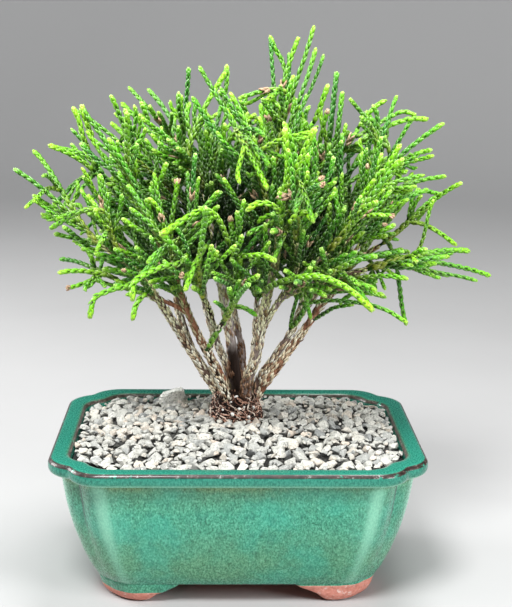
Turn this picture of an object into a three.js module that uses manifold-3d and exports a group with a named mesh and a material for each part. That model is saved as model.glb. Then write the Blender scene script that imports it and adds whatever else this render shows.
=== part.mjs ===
// Whipcord western red cedar bonsai growing in a glazed rectangular pot.
// Millimetres, +Z up. Everything is laid out from the middle of the pot at the height of its
// rim; at the end the whole group moves so that the origin lies under the middle of the object,
// on the surface that it stands on.

import * as THREE from 'three';
import { mergeVertices } from 'three/addons/utils/BufferGeometryUtils.js';
import Module from 'manifold-3d';

const wasm = await Module();
wasm.setup();

// Pot
const POT_LENGTH = 216;
const POT_DEPTH = 165;
const POT_HEIGHT = 89;
const CORNER_REACH = 31;
const LOBE_TURN = THREE.MathUtils.degToRad(73.1);
const FADED_TURN = THREE.MathUtils.degToRad(52);
const VALLEY_FADE = { from: -24, to: -76 };
const LOBE_STEPS = 3;
const BODY_BOTTOM = -77.4;
const CAVITY_FLOOR = -71;
const DRAIN_RADIUS = 9;
const DRAIN_OFFSET = 40;
const DRAIN_SIDES = 14;
const LIP_WIDTH = 11;

// Wall of the pot from its underside, up the bowed outside, over the lip and down to the floor
// of the cavity: height from the rim, and how far the wall lies inside the lip's outer edge.
const WALL = [
  [BODY_BOTTOM, 27.8], [-76, 25.2], [-70, 21.8], [-60, 17.7], [-46, 13.3], [-28, 9.4],
  [-9, 6.2], [-8.4, 1.4], [-6, 0], [-1.6, 0.4], [0, 2.6],
  [-0.1, 9.8], [-1.8, 11.6], [-14, 14.4], [-46, 20.4], [-64, 27.5], [CAVITY_FLOOR, 35],
];

// Feet: height and inset as above, and the pad and the lower shelf beside it as the distances
// from the pot's middle where they start.
const FOOT_WALL = [[-75.5, 25.4], [-79.5, 26.7], [-84, 27.6], [-87.5, 29.2], [-POT_HEIGHT, 31.5]];
const FOOT_TOP = -75;
const FOOT_PAD = { x: 49, y: 25, bottom: -95 };
const FOOT_SHELF = { x: 35, y: 13, bottom: -83.6 };

// Fillings
const GAP = 0.3;
const SCREEN_SIDE = 30;
const SCREEN_THICKNESS = 1.2;
const SCREEN_HOLE = 11;
const SCREEN_HOLES = 2;
const SOIL_TOP = -14;
const GRAVEL_EDGE_LEVEL = -3.4;
const GRAVEL_MOUND = 5.6;
const GRAVEL_RELIEF = 2.3;
const STONE_PITCH = 9.6;
const GAP_SHARE = 0.3;
const BOULDER = { middle: [-42, 57, 3.5], reach: [10, 5.5, 6.5], tip: 0.25, turn: 0.3 };

// Root crown, standing in a plain hole in gravel and soil: height and radius from the axis
const ROOT = { x: -1, y: 20, hole: 17, holeSides: 24, depth: -38 };
const CROWN_PROFILE = [[-38, 9], [-30, 15.4], [-14, 16.5], [-1, 16.5], [4, 15.2], [9, 13], [15, 9]];
const CROWN_SIDES = 14;
const CROWN_RIDGES = 7;
const RIDGE_DEPTH = 0.2;

// Brown stems: thickness at the foot and the points that each passes, chosen on the photograph
const STEMS = [
  { radius: 3.3, points: [[-9, 22, 10], [-18, 14, 28], [-30, 3, 50], [-43, -10, 75], [-52, -15, 90]] },
  { radius: 2.9, points: [[-9, 28, 10], [-25, 34, 32], [-34, 45, 52], [-38, 52, 66], [-37, 57, 92]] },
  { radius: 2.8, points: [[-7, 18, 11], [-10, 12, 28], [-19, 3, 47], [-27, -6, 66], [-35, -14, 88]] },
  { radius: 2.8, points: [[-4, 26, 11], [-6, 33, 27], [-13, 45, 42], [-20, 58, 62], [-24, 67, 86]] },
  { radius: 2.3, points: [[-4, 12, 11], [-10, 3, 26], [-17, -8, 46], [-15, -17, 62]] },
  { radius: 4.0, points: [[0, 22, 10], [-1, 22, 26], [-4, 20, 50], [-9, 16, 80], [-13, 14, 112]] },
  { radius: 2.6, points: [[2, 28, 9], [3, 38, 36], [-2, 50, 62], [-2, 62, 98]] },
  { radius: 3.6, points: [[5, 16, 11], [6, 10, 27], [11, 0, 46], [14, -11, 72], [20, -21, 104]] },
  { radius: 1.9, points: [[13, -7, 62], [20, -13, 76], [29, -20, 92]] },
  { radius: 2.2, points: [[7, 28, 9], [10, 42, 28], [12, 56, 50], [14, 70, 86]] },
  { radius: 2.6, points: [[11, 20, 11], [13, 18, 24], [23, 12, 42], [34, 8, 62], [42, 16, 86]] },
  { radius: 1.9, points: [[33, 8, 61], [41, -2, 77], [49, -10, 94]] },
  { radius: 3.2, points: [[9, 24, 7], [17, 26, 20], [34, 32, 42], [52, 40, 67], [64, 46, 90]] },
];
const STEM_TIP_SHARE = 0.62;
const STEM_SIDES = 5;
const STEM_STEPS = 5;
const TWIG_RADIUS = 1.6;
const TWIG_TIP_RADIUS = 1.25;
const TWIG_SIDES = 4;
const TWIG_STEPS = 2;
const TWIG_REACH = 0.38;
const TWIG_DROP = 0.09;

// Whip tips that the photograph shows: left side, upper left, top, right side, then the face
const SEEN_TIPS = [
  [-129, -5, 156], [-123, 30, 163], [-117, -20, 140], [-98, 20, 189], [-89, -15, 192],
  [-102, 45, 175], [-106, 10, 101], [-118, 40, 123], [-108, -15, 124], [-77, -25, 92],
  [-87, 30, 97], [-87, -5, 71], [-64, 20, 62],
  [-74, 0, 198], [-62, -45, 192], [-67, 50, 200], [-54, -40, 189], [-47, -10, 190],
  [-41, 40, 189], [-30, 5, 214], [-23, -25, 216], [-12, 35, 199], [-8, 15, 213], [-1, -20, 199],
  [17, 10, 232], [41, 0, 238], [57, 25, 211], [61, -20, 199], [21, -35, 207], [22, -65, 190],
  [36, -70, 184], [78, 45, 187],
  [91, 10, 199], [94, 50, 188], [106, 35, 187], [115, -10, 185], [76, -45, 180], [89, -25, 174],
  [114, 20, 167], [87, -50, 169], [102, -30, 158], [132, 15, 148], [125, 40, 138],
  [72, -65, 148], [83, -50, 138], [112, 45, 121], [106, -25, 115], [150, 5, 94], [126, 40, 85],
  [107, -15, 106], [104, 25, 59], [79, 40, 90],
  [-60, -50, 141], [-43, -65, 130], [-19, -80, 146], [-25, -60, 113], [-1, -45, 113],
  [18, -55, 114], [16, -75, 133], [37, -80, 140], [41, -88, 160], [72, -55, 88], [64, -40, 99],
];

// Where the photograph shows none, tips spread evenly over this rounded crown
const CROWN = { x: 9, y: 20, z: 112, side: 132, front: 104, back: 100, up: 100, down: 46 };
const TIP_COUNT = 134;
const TIP_SPACING = 25;
const TRIES_FOR_TIPS = 9000;
const TIP_REACH = [0.84, 1];
const TIP_RISE = [-0.8, 1];
const TURN_COST = 0.5;
const LOAD_COST = 5;
const WHIPS_IN_SPRAY = 3.5;

// Whips: cords of opposite scale leaves, each pair turned a quarter from the last
const SCALE_PITCH = 6.9;
const SCALE_RADIUS = 2.35;
const NECK_RADIUS = 1.25;
const SCALE_LEAN = 0.42;
const WHIP_DROOP = 0.3;
const WHIP_CLEARANCE = 0.75;
const TRY = { count: 70, atFullLength: 40, shortening: 0.015, nudge: 0.1, bend: 0.005 };
const FIRST_FORK = 0.16;
const FORK_STEP = 0.2;
const SAMPLE_STEP = 3;
const SEED = 11;

const MATERIALS = {
  glaze: { color: 0x2f7d63, roughness: 0.22, metalness: 0 },
  screen: { color: 0x202222, roughness: 0.6, metalness: 0 },
  soil: { color: 0x3a2c21, roughness: 1, metalness: 0 },
  stone: { color: 0xb9b5a9, roughness: 0.9, metalness: 0 },
  bark: { color: 0x8a6a4a, roughness: 0.9, metalness: 0 },
  foliage: { color: 0x4f9a32, roughness: 0.55, metalness: 0 },
};

// Small helpers

function seeded(seed) {
  let state = seed;
  return () => {
    state = (state + 0x6d2b79f5) | 0;
    let mixed = Math.imul(state ^ (state >>> 15), 1 | state);
    mixed = (mixed + Math.imul(mixed ^ (mixed >>> 7), 61 | mixed)) ^ mixed;
    return ((mixed ^ (mixed >>> 14)) >>> 0) / 4294967296;
  };
}

function vector([x, y, z]) {
  return new THREE.Vector3(x, y, z);
}

function toSolid(geometry) {
  const bare = geometry.index ? geometry.clone() : geometry;
  for (const extra of ['normal', 'uv']) {
    bare.deleteAttribute(extra);
  }
  const merged = mergeVertices(bare, 1e-4);
  return new wasm.Manifold(new wasm.Mesh({
    numProp: 3,
    vertProperties: new Float32Array(merged.attributes.position.array),
    triVerts: new Uint32Array(merged.index.array),
  }));
}

function toGeometry(solid) {
  const { numProp, vertProperties, triVerts } = solid.getMesh();
  const points = new Float32Array((vertProperties.length / numProp) * 3);
  for (let i = 0; i < points.length / 3; i++) {
    points.set(vertProperties.subarray(i * numProp, i * numProp + 3), i * 3);
  }
  const geometry = new THREE.BufferGeometry();
  geometry.setAttribute('position', new THREE.BufferAttribute(points, 3));
  geometry.setIndex(new THREE.BufferAttribute(new Uint32Array(triVerts), 1));
  return geometry;
}

// Skin over a stack of rings with as many points each, closed by a fan at both ends.
// The rings turn left as seen from where the stack leads.
function skin(rings, apex) {
  const size = rings[0].length;
  const points = rings.flat();
  const faces = [];
  for (let r = 0; r + 1 < rings.length; r++) {
    for (let i = 0; i < size; i++) {
      const a = r * size + i;
      const b = r * size + ((i + 1) % size);
      faces.push(a, b, b + size, a, b + size, a + size);
    }
  }
  const centre = (ring) => ring.reduce((sum, p) => sum.add(p), new THREE.Vector3()).divideScalar(size);
  const first = points.length;
  points.push(centre(rings[0]), apex ?? centre(rings[rings.length - 1]));
  const top = (rings.length - 1) * size;
  for (let i = 0; i < size; i++) {
    const next = (i + 1) % size;
    faces.push(first, next, i, first + 1, top + i, top + next);
  }
  const geometry = new THREE.BufferGeometry().setFromPoints(points);
  geometry.setIndex(faces);
  return geometry;
}

// Directions across a path at each of its points, carried along without twist
function frames(points) {
  const along = points.map((p, i) => {
    const before = points[Math.max(i - 1, 0)];
    const after = points[Math.min(i + 1, points.length - 1)];
    return after.clone().sub(before).normalize();
  });
  const hint = Math.abs(along[0].z) < 0.9 ? new THREE.Vector3(0, 0, 1) : new THREE.Vector3(1, 0, 0);
  let across = hint.cross(along[0]).normalize();
  return along.map((direction) => {
    across = across.clone().addScaledVector(direction, -across.dot(direction)).normalize();
    return { direction, across, over: direction.clone().cross(across) };
  });
}

// Round tube through points, with a radius at each of them
function tube(points, radii, sides) {
  const rings = frames(points).map(({ across, over }, i) => {
    const ring = [];
    for (let k = 0; k < sides; k++) {
      const angle = (2 * Math.PI * k) / sides;
      const point = points[i].clone().addScaledVector(across, radii[i] * Math.cos(angle));
      ring.push(point.addScaledVector(over, radii[i] * Math.sin(angle)));
    }
    return ring;
  });
  return skin(rings);
}

function mesh(name, geometry, material) {
  const part = new THREE.Mesh(geometry, new THREE.MeshStandardMaterial(MATERIALS[material]));
  part.name = name;
  return part;
}

// Pot

// How far each of a corner's two lobes turns at a height: their valley fades out to the feet
function lobeTurn(height) {
  const level = THREE.MathUtils.clamp(height, VALLEY_FADE.to, VALLEY_FADE.from);
  return THREE.MathUtils.mapLinear(level, VALLEY_FADE.from, VALLEY_FADE.to, LOBE_TURN, FADED_TURN);
}

// One level of the pot's plan: straight sides, and corners of two round lobes with a valley
function potRing(height, inset) {
  const halfX = POT_LENGTH / 2 - inset;
  const halfY = POT_DEPTH / 2 - inset;
  const reach = CORNER_REACH * (halfX / (POT_LENGTH / 2));
  const fullTurn = lobeTurn(height);
  const lobe = reach / (1 - Math.cos(fullTurn) + Math.sin(fullTurn));
  const corner = [];
  for (let i = 0; i <= LOBE_STEPS; i++) {
    const turn = (fullTurn * i) / LOBE_STEPS;
    corner.push([halfX - lobe * (1 - Math.cos(turn)), halfY - reach + lobe * Math.sin(turn)]);
  }
  for (let i = 1; i <= LOBE_STEPS; i++) {
    const turn = Math.PI / 2 - fullTurn * (1 - i / LOBE_STEPS);
    corner.push([halfX - reach + lobe * Math.cos(turn), halfY - lobe * (1 - Math.sin(turn))]);
  }
  const mirrored = [...corner].reverse();
  return [
    ...corner.map(([x, y]) => new THREE.Vector3(x, y, height)),
    ...mirrored.map(([x, y]) => new THREE.Vector3(-x, y, height)),
    ...corner.map(([x, y]) => new THREE.Vector3(-x, -y, height)),
    ...mirrored.map(([x, y]) => new THREE.Vector3(x, -y, height)),
  ];
}

// How far the wall of the cavity lies inside the lip's outer edge at a height
function wallInset(height) {
  const lipTop = WALL.findIndex(([level]) => level === 0);
  const inner = WALL.slice(WALL.findIndex(([, inset], i) => i > lipTop && inset > LIP_WIDTH));
  for (let i = 0; i + 1 < inner.length; i++) {
    const [upper, upperInset] = inner[i];
    const [lower, lowerInset] = inner[i + 1];
    if (height <= upper && height >= lower) {
      return upperInset + ((lowerInset - upperInset) * (upper - height)) / (upper - lower);
    }
  }
  return inner[0][1];
}

function block(middle, size) {
  return toSolid(new THREE.BoxGeometry(...size).translate(...middle));
}

function cylinder(x, y, radius, low, high, sides) {
  const geometry = new THREE.CylinderGeometry(radius, radius, high - low, sides);
  geometry.rotateX(Math.PI / 2);
  geometry.translate(x, y, (low + high) / 2);
  return toSolid(geometry);
}

function foot(signX, signY) {
  const wall = toSolid(skin(FOOT_WALL.map(([height, inset]) => potRing(height, inset)).reverse()));
  const quarter = ({ x, y, bottom }) => block(
    [signX * (POT_LENGTH / 2 + x) / 2, signY * (POT_DEPTH / 2 + y) / 2, (FOOT_TOP + bottom) / 2],
    [POT_LENGTH / 2 - x, POT_DEPTH / 2 - y, FOOT_TOP - bottom],
  );
  return quarter(FOOT_PAD).add(quarter(FOOT_SHELF)).intersect(wall);
}

function pot() {
  let body = toSolid(skin(WALL.map(([height, inset]) => potRing(height, inset))));
  for (const sign of [-1, 1]) {
    body = body.add(foot(sign, -1)).add(foot(sign, 1));
    const [low, high] = [BODY_BOTTOM - 3, CAVITY_FLOOR + 3];
    body = body.subtract(cylinder(sign * DRAIN_OFFSET, 0, DRAIN_RADIUS, low, high, DRAIN_SIDES));
  }
  return toGeometry(body);
}

function drainScreen(sign) {
  const middle = CAVITY_FLOOR + GAP + SCREEN_THICKNESS / 2;
  let screen = block([sign * DRAIN_OFFSET, 0, middle], [SCREEN_SIDE, SCREEN_SIDE, SCREEN_THICKNESS]);
  const pitch = SCREEN_SIDE / SCREEN_HOLES;
  for (let i = 0; i < SCREEN_HOLES; i++) {
    for (let j = 0; j < SCREEN_HOLES; j++) {
      const x = sign * DRAIN_OFFSET + (i - (SCREEN_HOLES - 1) / 2) * pitch;
      const y = (j - (SCREEN_HOLES - 1) / 2) * pitch;
      screen = screen.subtract(block([x, y, middle], [SCREEN_HOLE, SCREEN_HOLE, 3 * SCREEN_THICKNESS]));
    }
  }
  return toGeometry(screen);
}

// Fillings of the pot

function rootHole(low, high) {
  return cylinder(ROOT.x, ROOT.y, ROOT.hole, low, high, ROOT.holeSides);
}

function soil() {
  const bottom = CAVITY_FLOOR + SCREEN_THICKNESS + 2 * GAP;
  const levels = [bottom, -62, SOIL_TOP];
  const rings = levels.map((height) => potRing(height, wallInset(height) + GAP));
  return toGeometry(toSolid(skin(rings)).subtract(rootHole(ROOT.depth - GAP, 0)));
}

function gravelLevel(x, y) {
  const slopeX = 1 - (x / (POT_LENGTH / 2)) ** 2;
  const slopeY = 1 - (y / (POT_DEPTH / 2)) ** 2;
  return GRAVEL_EDGE_LEVEL + GRAVEL_MOUND * Math.max(slopeX, 0) * Math.max(slopeY, 0);
}

// Block under a field of angular stones: each grid point is a stone's high face or a low gap
function stoneField(random) {
  const columns = Math.round(POT_LENGTH / STONE_PITCH);
  const rows = Math.round(POT_DEPTH / STONE_PITCH);
  const points = [];
  for (let j = 0; j <= rows; j++) {
    for (let i = 0; i <= columns; i++) {
      const x = (i - columns / 2 + 0.5 * (random() - 0.5)) * STONE_PITCH;
      const y = (j - rows / 2 + 0.5 * (random() - 0.5)) * STONE_PITCH;
      const lift = random() < GAP_SHARE ? -1 : 0.1 + 0.9 * random();
      points.push(new THREE.Vector3(x, y, gravelLevel(x, y) + GRAVEL_RELIEF * lift));
    }
  }
  const faces = [];
  const at = (i, j) => j * (columns + 1) + i;
  for (let j = 0; j < rows; j++) {
    for (let i = 0; i < columns; i++) {
      faces.push(at(i, j), at(i + 1, j), at(i + 1, j + 1), at(i, j), at(i + 1, j + 1), at(i, j + 1));
    }
  }
  const edge = [];
  for (let i = 0; i < columns; i++) edge.push(at(i, 0));
  for (let j = 0; j < rows; j++) edge.push(at(columns, j));
  for (let i = columns; i > 0; i--) edge.push(at(i, rows));
  for (let j = rows; j > 0; j--) edge.push(at(0, j));
  const foot = points.length;
  points.push(new THREE.Vector3(0, 0, 3 * SOIL_TOP));
  edge.forEach((point, i) => {
    faces.push(foot, edge[(i + 1) % edge.length], point);
  });
  const geometry = new THREE.BufferGeometry().setFromPoints(points);
  geometry.setIndex(faces);
  return toSolid(geometry);
}

// The one large stone at the back of the bed
function boulder() {
  const stone = new THREE.IcosahedronGeometry(1, 0);
  stone.scale(...BOULDER.reach).rotateY(BOULDER.tip).rotateZ(BOULDER.turn).translate(...BOULDER.middle);
  return toSolid(stone);
}

function gravel(random) {
  const bottom = SOIL_TOP + GAP;
  const levels = [bottom, -6, 12];
  const rings = levels.map((height) => potRing(height, wallInset(height) + GAP));
  const bed = toSolid(skin(rings)).intersect(stoneField(random).add(boulder()));
  return toGeometry(bed.subtract(rootHole(bottom - 1, 20)));
}

// Growth

const random = seeded(SEED);

function stemShape(stem) {
  const curve = new THREE.CatmullRomCurve3(stem.points.map(vector), false, 'catmullrom', 0.5);
  const path = [];
  const radii = [];
  for (let i = 0; i <= STEM_STEPS; i++) {
    path.push(curve.getPoint(i / STEM_STEPS));
    radii.push(stem.radius * (1 - (1 - STEM_TIP_SHARE) * (i / STEM_STEPS)));
  }
  const end = path[STEM_STEPS];
  const direction = end.clone().sub(path[STEM_STEPS - 1]).normalize();
  return { curve, path, radii, end, direction, tipRadius: radii[STEM_STEPS] };
}

// Tips of the whips: those seen, then seeded ones at least one spacing away from all others
function allTips() {
  const tips = SEEN_TIPS.map(vector);
  const { x, y, z, side, front, back, up, down } = CROWN;
  for (let i = 0; i < TRIES_FOR_TIPS && tips.length < TIP_COUNT; i++) {
    const turn = 2 * Math.PI * random();
    const rise = TIP_RISE[0] + (TIP_RISE[1] - TIP_RISE[0]) * random();
    const reach = TIP_REACH[0] + (TIP_REACH[1] - TIP_REACH[0]) * random();
    const level = Math.sqrt(1 - rise * rise);
    const tip = new THREE.Vector3(
      x + side * reach * level * Math.cos(turn),
      y + (Math.sin(turn) < 0 ? front : back) * reach * level * Math.sin(turn),
      z + (rise < 0 ? down : up) * reach * rise,
    );
    if (tips.every((other) => other.distanceTo(tip) > TIP_SPACING)) {
      tips.push(tip);
    }
  }
  return tips;
}

// Each tip is carried by the stem that leads to it best, with the load shared out
function tipsByStem(stems, tips) {
  const carried = stems.map(() => []);
  for (const tip of tips) {
    const costs = stems.map(({ end, direction }, s) => {
      const reach = tip.clone().sub(end);
      const distance = reach.length();
      const turned = 1 - reach.dot(direction) / distance;
      return distance * (1 + TURN_COST * turned) + LOAD_COST * carried[s].length;
    });
    carried[costs.indexOf(Math.min(...costs))].push(tip);
  }
  return carried;
}

// Tips of a stem in sprays: the farthest free tip, with its nearest neighbours
function sprayGroups(end, tips) {
  const free = [...tips];
  const groups = [];
  const count = Math.max(1, Math.round(tips.length / WHIPS_IN_SPRAY));
  for (let left = count; left > 0 && free.length > 0; left--) {
    free.sort((a, b) => b.distanceTo(end) - a.distanceTo(end));
    const lead = free.shift();
    free.sort((a, b) => a.distanceTo(lead) - b.distanceTo(lead));
    const mates = free.splice(0, Math.ceil((free.length + 1) / left) - 1);
    groups.push([lead, ...mates]);
  }
  return groups;
}

// Twig to the middle of a spray's reach. The first twig of a stem is the stem's own end, and the
// others leave it one below another.
function twigShape(stem, group, order) {
  const centre = group.reduce((sum, tip) => sum.add(tip), new THREE.Vector3()).divideScalar(group.length);
  const hub = stem.end.clone().lerp(centre, TWIG_REACH);
  const start = stem.curve.getPoint(1 - TWIG_DROP * order);
  const chord = hub.clone().sub(start);
  const bend = start.clone().addScaledVector(chord, order ? 0.3 : 0.1);
  bend.addScaledVector(stem.direction, (order ? 0.15 : 0.35) * chord.length());
  const curve = new THREE.QuadraticBezierCurve3(start, bend, hub);
  const path = [];
  const radii = [];
  const thickness = order ? TWIG_RADIUS : stem.tipRadius;
  for (let i = 0; i <= TWIG_STEPS; i++) {
    path.push(curve.getPoint(i / TWIG_STEPS));
    radii.push(thickness + (TWIG_TIP_RADIUS - thickness) * (i / TWIG_STEPS));
  }
  const direction = hub.clone().sub(path[TWIG_STEPS - 1]).normalize();
  if (order === 0) {
    path.unshift(...stem.path.slice(0, -1));
    radii.unshift(...stem.radii.slice(0, -1));
  }
  return { path, radii, end: hub, direction, sides: order ? TWIG_SIDES : STEM_SIDES };
}

// Points along a stem or twig, a sample step apart, each with the radius there
function samples(shape) {
  const { path, radii } = shape;
  const result = [];
  for (let i = 0; i + 1 < path.length; i++) {
    const steps = Math.ceil(path[i].distanceTo(path[i + 1]) / SAMPLE_STEP);
    for (let k = 0; k <= steps; k++) {
      const share = k / steps;
      const radius = radii[i] + (radii[i + 1] - radii[i]) * share;
      result.push({ point: path[i].clone().lerp(path[i + 1], share), radius, owner: shape });
    }
  }
  return result;
}

function jitter(amount) {
  return new THREE.Vector3(random() - 0.5, random() - 0.5, random() - 0.5).multiplyScalar(2 * amount);
}

// Whip from a start, leaving in a direction, to its tip, with the tip bent down by its reach
function whipCurve(start, direction, tip, amount) {
  const chord = tip.clone().sub(start);
  const length = chord.length();
  const level = Math.hypot(chord.x, chord.y) / length;
  const landing = chord.clone().divideScalar(length);
  landing.z -= WHIP_DROOP * level;
  landing.normalize();
  const first = start.clone().addScaledVector(direction, 0.33 * length);
  const second = tip.clone().addScaledVector(landing, -0.33 * length);
  second.add(jitter(amount * length));
  return { curve: new THREE.CubicBezierCurve3(start, first, second, tip), length };
}

// Whether a whip's points keep clear of all others, bar its own spray and the twig it goes on
function isClear(points, taken, twig) {
  return points.every((point) => taken.every((other) => other.owner === twig
    || other.point.distanceTo(point) > SCALE_RADIUS + other.radius + WHIP_CLEARANCE));
}

// First of many bends of a whip that stays clear of every other spray and of the wood
function grownWhip(start, direction, wish, twig, taken) {
  for (let attempt = 0; attempt < TRY.count; attempt++) {
    const shortening = TRY.shortening * Math.max(attempt - TRY.atFullLength, 0);
    const nudged = wish.clone().add(jitter(TRY.nudge * attempt));
    const tip = nudged.lerp(start, shortening);
    const { curve, length } = whipCurve(start, direction, tip, TRY.bend * attempt);
    const path = [];
    const steps = Math.ceil(length / SAMPLE_STEP);
    for (let i = 0; i <= steps; i++) {
      path.push(curve.getPoint(i / steps));
    }
    if (isClear(path, taken, twig)) {
      return { curve, length, path };
    }
  }
  return null;
}

// A spray: its main whip goes on from the twig, and the others leave the main whip
function spray(twig, group, taken) {
  const start = twig.end.clone().addScaledVector(twig.direction, GAP);
  const main = grownWhip(start, twig.direction, group[0], twig, taken);
  if (!main) {
    return null;
  }
  const whips = [main];
  group.slice(1).forEach((wish, i) => {
    const share = FIRST_FORK + FORK_STEP * i;
    const fork = main.curve.getPoint(share);
    const onward = main.curve.getPoint(share + 0.02).sub(fork).normalize();
    const aside = wish.clone().sub(fork).normalize();
    const side = grownWhip(fork, onward.add(aside).normalize(), wish, twig, taken);
    if (side) {
      whips.push(side);
    }
  });
  return whips;
}

function whipSkin({ curve, length }, turn) {
  const count = Math.max(5, Math.round(length / SCALE_PITCH));
  const centres = [];
  for (let i = 0; i <= count; i++) {
    centres.push(curve.getPoint(i / count));
  }
  const lean = SCALE_LEAN * SCALE_PITCH;
  const cross = frames(centres);
  const rings = centres.slice(0, -1).map((centre, i) => {
    const { direction, across, over } = cross[i];
    const ring = [];
    for (let k = 0; k < 4; k++) {
      const angle = turn + (Math.PI / 2) * k;
      const isLeaf = i > 0 && (i + k) % 2 === 0;
      const radius = isLeaf ? SCALE_RADIUS : NECK_RADIUS;
      const point = centre.clone().addScaledVector(across, radius * Math.cos(angle));
      point.addScaledVector(over, radius * Math.sin(angle));
      ring.push(point.addScaledVector(direction, isLeaf ? lean : 0));
    }
    return ring;
  });
  return skin(rings, centres[count]);
}

function sprayGeometry(whips) {
  const solids = whips.map((whip) => toSolid(whipSkin(whip, Math.PI * random())));
  return toGeometry(solids.reduce((sum, solid) => sum.add(solid)));
}

// Root crown with ridges of surface roots, and its stems and twigs, as one piece of wood
function wood(shapes) {
  const rings = CROWN_PROFILE.map(([height, radius]) => {
    const ring = [];
    for (let k = 0; k < CROWN_SIDES; k++) {
      const angle = (2 * Math.PI * k) / CROWN_SIDES;
      const ridge = height > 0 ? 1 - RIDGE_DEPTH * (0.5 - 0.5 * Math.cos(CROWN_RIDGES * angle)) : 1;
      const reach = radius * ridge;
      const [x, y] = [ROOT.x + reach * Math.cos(angle), ROOT.y + reach * Math.sin(angle)];
      ring.push(new THREE.Vector3(x, y, height));
    }
    return ring;
  });
  let solid = toSolid(skin(rings));
  for (const { path, radii, sides } of shapes) {
    solid = solid.add(toSolid(tube(path, radii, sides)));
  }
  return toGeometry(solid);
}

function tree() {
  const stems = STEMS.map(stemShape);
  const carried = tipsByStem(stems, allTips());
  const plans = [];
  stems.forEach((stem, s) => {
    sprayGroups(stem.end, carried[s]).forEach((group, order) => {
      plans.push({ twig: twigShape(stem, group, order), group });
    });
  });
  const shapes = plans.map(({ twig }) => twig);
  const taken = shapes.flatMap(samples);
  const parts = [];
  for (const { twig, group } of plans) {
    const node = `spray_${String(parts.length + 1).padStart(2, '0')}`;
    const whips = spray(twig, group, taken);
    if (whips) {
      const points = whips.flatMap(({ path }) => path);
      taken.push(...points.map((point) => ({ point, radius: SCALE_RADIUS, owner: node })));
      parts.push(mesh(node, sprayGeometry(whips), 'foliage'));
    }
  }
  return [mesh('wood', wood(shapes), 'bark'), ...parts];
}

const bonsai = new THREE.Group();
bonsai.add(
  mesh('pot', pot(), 'glaze'),
  mesh('drain_screen_left', drainScreen(-1), 'screen'),
  mesh('drain_screen_right', drainScreen(1), 'screen'),
  mesh('soil', soil(), 'soil'),
  mesh('gravel', gravel(seeded(SEED + 1)), 'stone'),
  ...tree(),
);

const extent = new THREE.Box3().setFromObject(bonsai);
bonsai.position.set(-(extent.min.x + extent.max.x) / 2, -(extent.min.y + extent.max.y) / 2, POT_HEIGHT);

export default bonsai;
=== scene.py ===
import math

import bmesh
import bpy
import numpy as np
from mathutils import Matrix, Vector, noise


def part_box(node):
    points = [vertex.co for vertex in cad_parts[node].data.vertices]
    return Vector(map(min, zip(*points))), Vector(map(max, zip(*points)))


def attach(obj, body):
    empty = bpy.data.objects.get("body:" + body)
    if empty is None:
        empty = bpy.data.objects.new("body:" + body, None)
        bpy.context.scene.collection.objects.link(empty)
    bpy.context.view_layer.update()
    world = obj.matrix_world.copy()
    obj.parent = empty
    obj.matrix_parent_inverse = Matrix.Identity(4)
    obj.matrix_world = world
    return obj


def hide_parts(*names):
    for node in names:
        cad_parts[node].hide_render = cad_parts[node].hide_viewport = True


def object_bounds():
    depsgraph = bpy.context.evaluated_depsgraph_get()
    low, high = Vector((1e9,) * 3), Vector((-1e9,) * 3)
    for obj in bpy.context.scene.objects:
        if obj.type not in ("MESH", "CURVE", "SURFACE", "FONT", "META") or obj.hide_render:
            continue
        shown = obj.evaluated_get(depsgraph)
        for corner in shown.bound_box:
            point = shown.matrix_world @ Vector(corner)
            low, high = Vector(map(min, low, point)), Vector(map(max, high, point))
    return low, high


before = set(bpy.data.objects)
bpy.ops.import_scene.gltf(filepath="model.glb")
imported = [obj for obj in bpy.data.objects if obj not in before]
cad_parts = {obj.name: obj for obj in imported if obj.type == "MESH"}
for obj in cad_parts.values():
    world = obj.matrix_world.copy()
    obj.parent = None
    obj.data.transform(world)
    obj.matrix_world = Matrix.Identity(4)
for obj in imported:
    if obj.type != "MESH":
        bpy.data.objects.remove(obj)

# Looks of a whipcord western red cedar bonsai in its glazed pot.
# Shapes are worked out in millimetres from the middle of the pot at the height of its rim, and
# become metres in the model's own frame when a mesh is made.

MODEL_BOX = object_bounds()
POT_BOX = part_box("pot")
MILLIMETRE = 0.001
ORIGIN = np.array([
    (POT_BOX[0][0] + POT_BOX[1][0]) / 2,
    (POT_BOX[0][1] + POT_BOX[1][1]) / 2,
    POT_BOX[1][2],
])

# Photograph: size in pixels, focal length in pixels, and the camera's place and turns in degrees
IMAGE = (512, 607)
FOCAL_PIXELS = 1282.3
SENSOR = 36
CAMERA = {"place": (-12.9, -742.3, 246.8), "yaw": 1.79, "pitch": 12.87, "roll": 0.73}

# Pot
POT_LENGTH = 216
POT_DEPTH = 165
POT_HEIGHT = 89
CORNER_REACH = 31
LOBE_TURN = math.radians(73.1)
FADED_TURN = math.radians(52)
VALLEY_FADE = (24, 76)
LOBE_STEPS = 12
SIDE_STEPS = 10
CAVITY_FLOOR = -71
BODY_BOTTOM = -77.4
DRAIN_RADIUS = 9
DRAIN_OFFSET = 40
DRAIN_SIDES = 32
EDGE_ROUNDING = 1.1
WALL_WAVE = {"height": 0.35, "below": 9, "fade": 12, "pitch": 0.022}
LIP_INNER_EDGE = 11.6
FOOT_ROUNDING = 4
FOOT_TURN_STEPS = 4
CLAY_WAVE = 0.5
CLAY_WAVE_PITCH = 0.12
SHARP_FROM = math.radians(50)

# Corners: where on a lobe its ridge runs, how wide it is and where the valley begins, and how
# much ridges and valleys are tinted, and the lip's lower edge given a painted highlight, at depths below the
# rim
RIDGE = {"place": 0.25, "width": 0.22, "valley": 0.97}
RIDGE_TINT = ((9, 12, 34, 60), (0, 1, 1, 0.6))
VALLEY_TINT = ((9, 11, 30, 55), (0, 1, 0.9, 0))
LIP_EDGE_HIGHLIGHT = ((6.2, 7.3, 8.2, 8.5), (0, 0.8, 0.8, 0))
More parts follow.
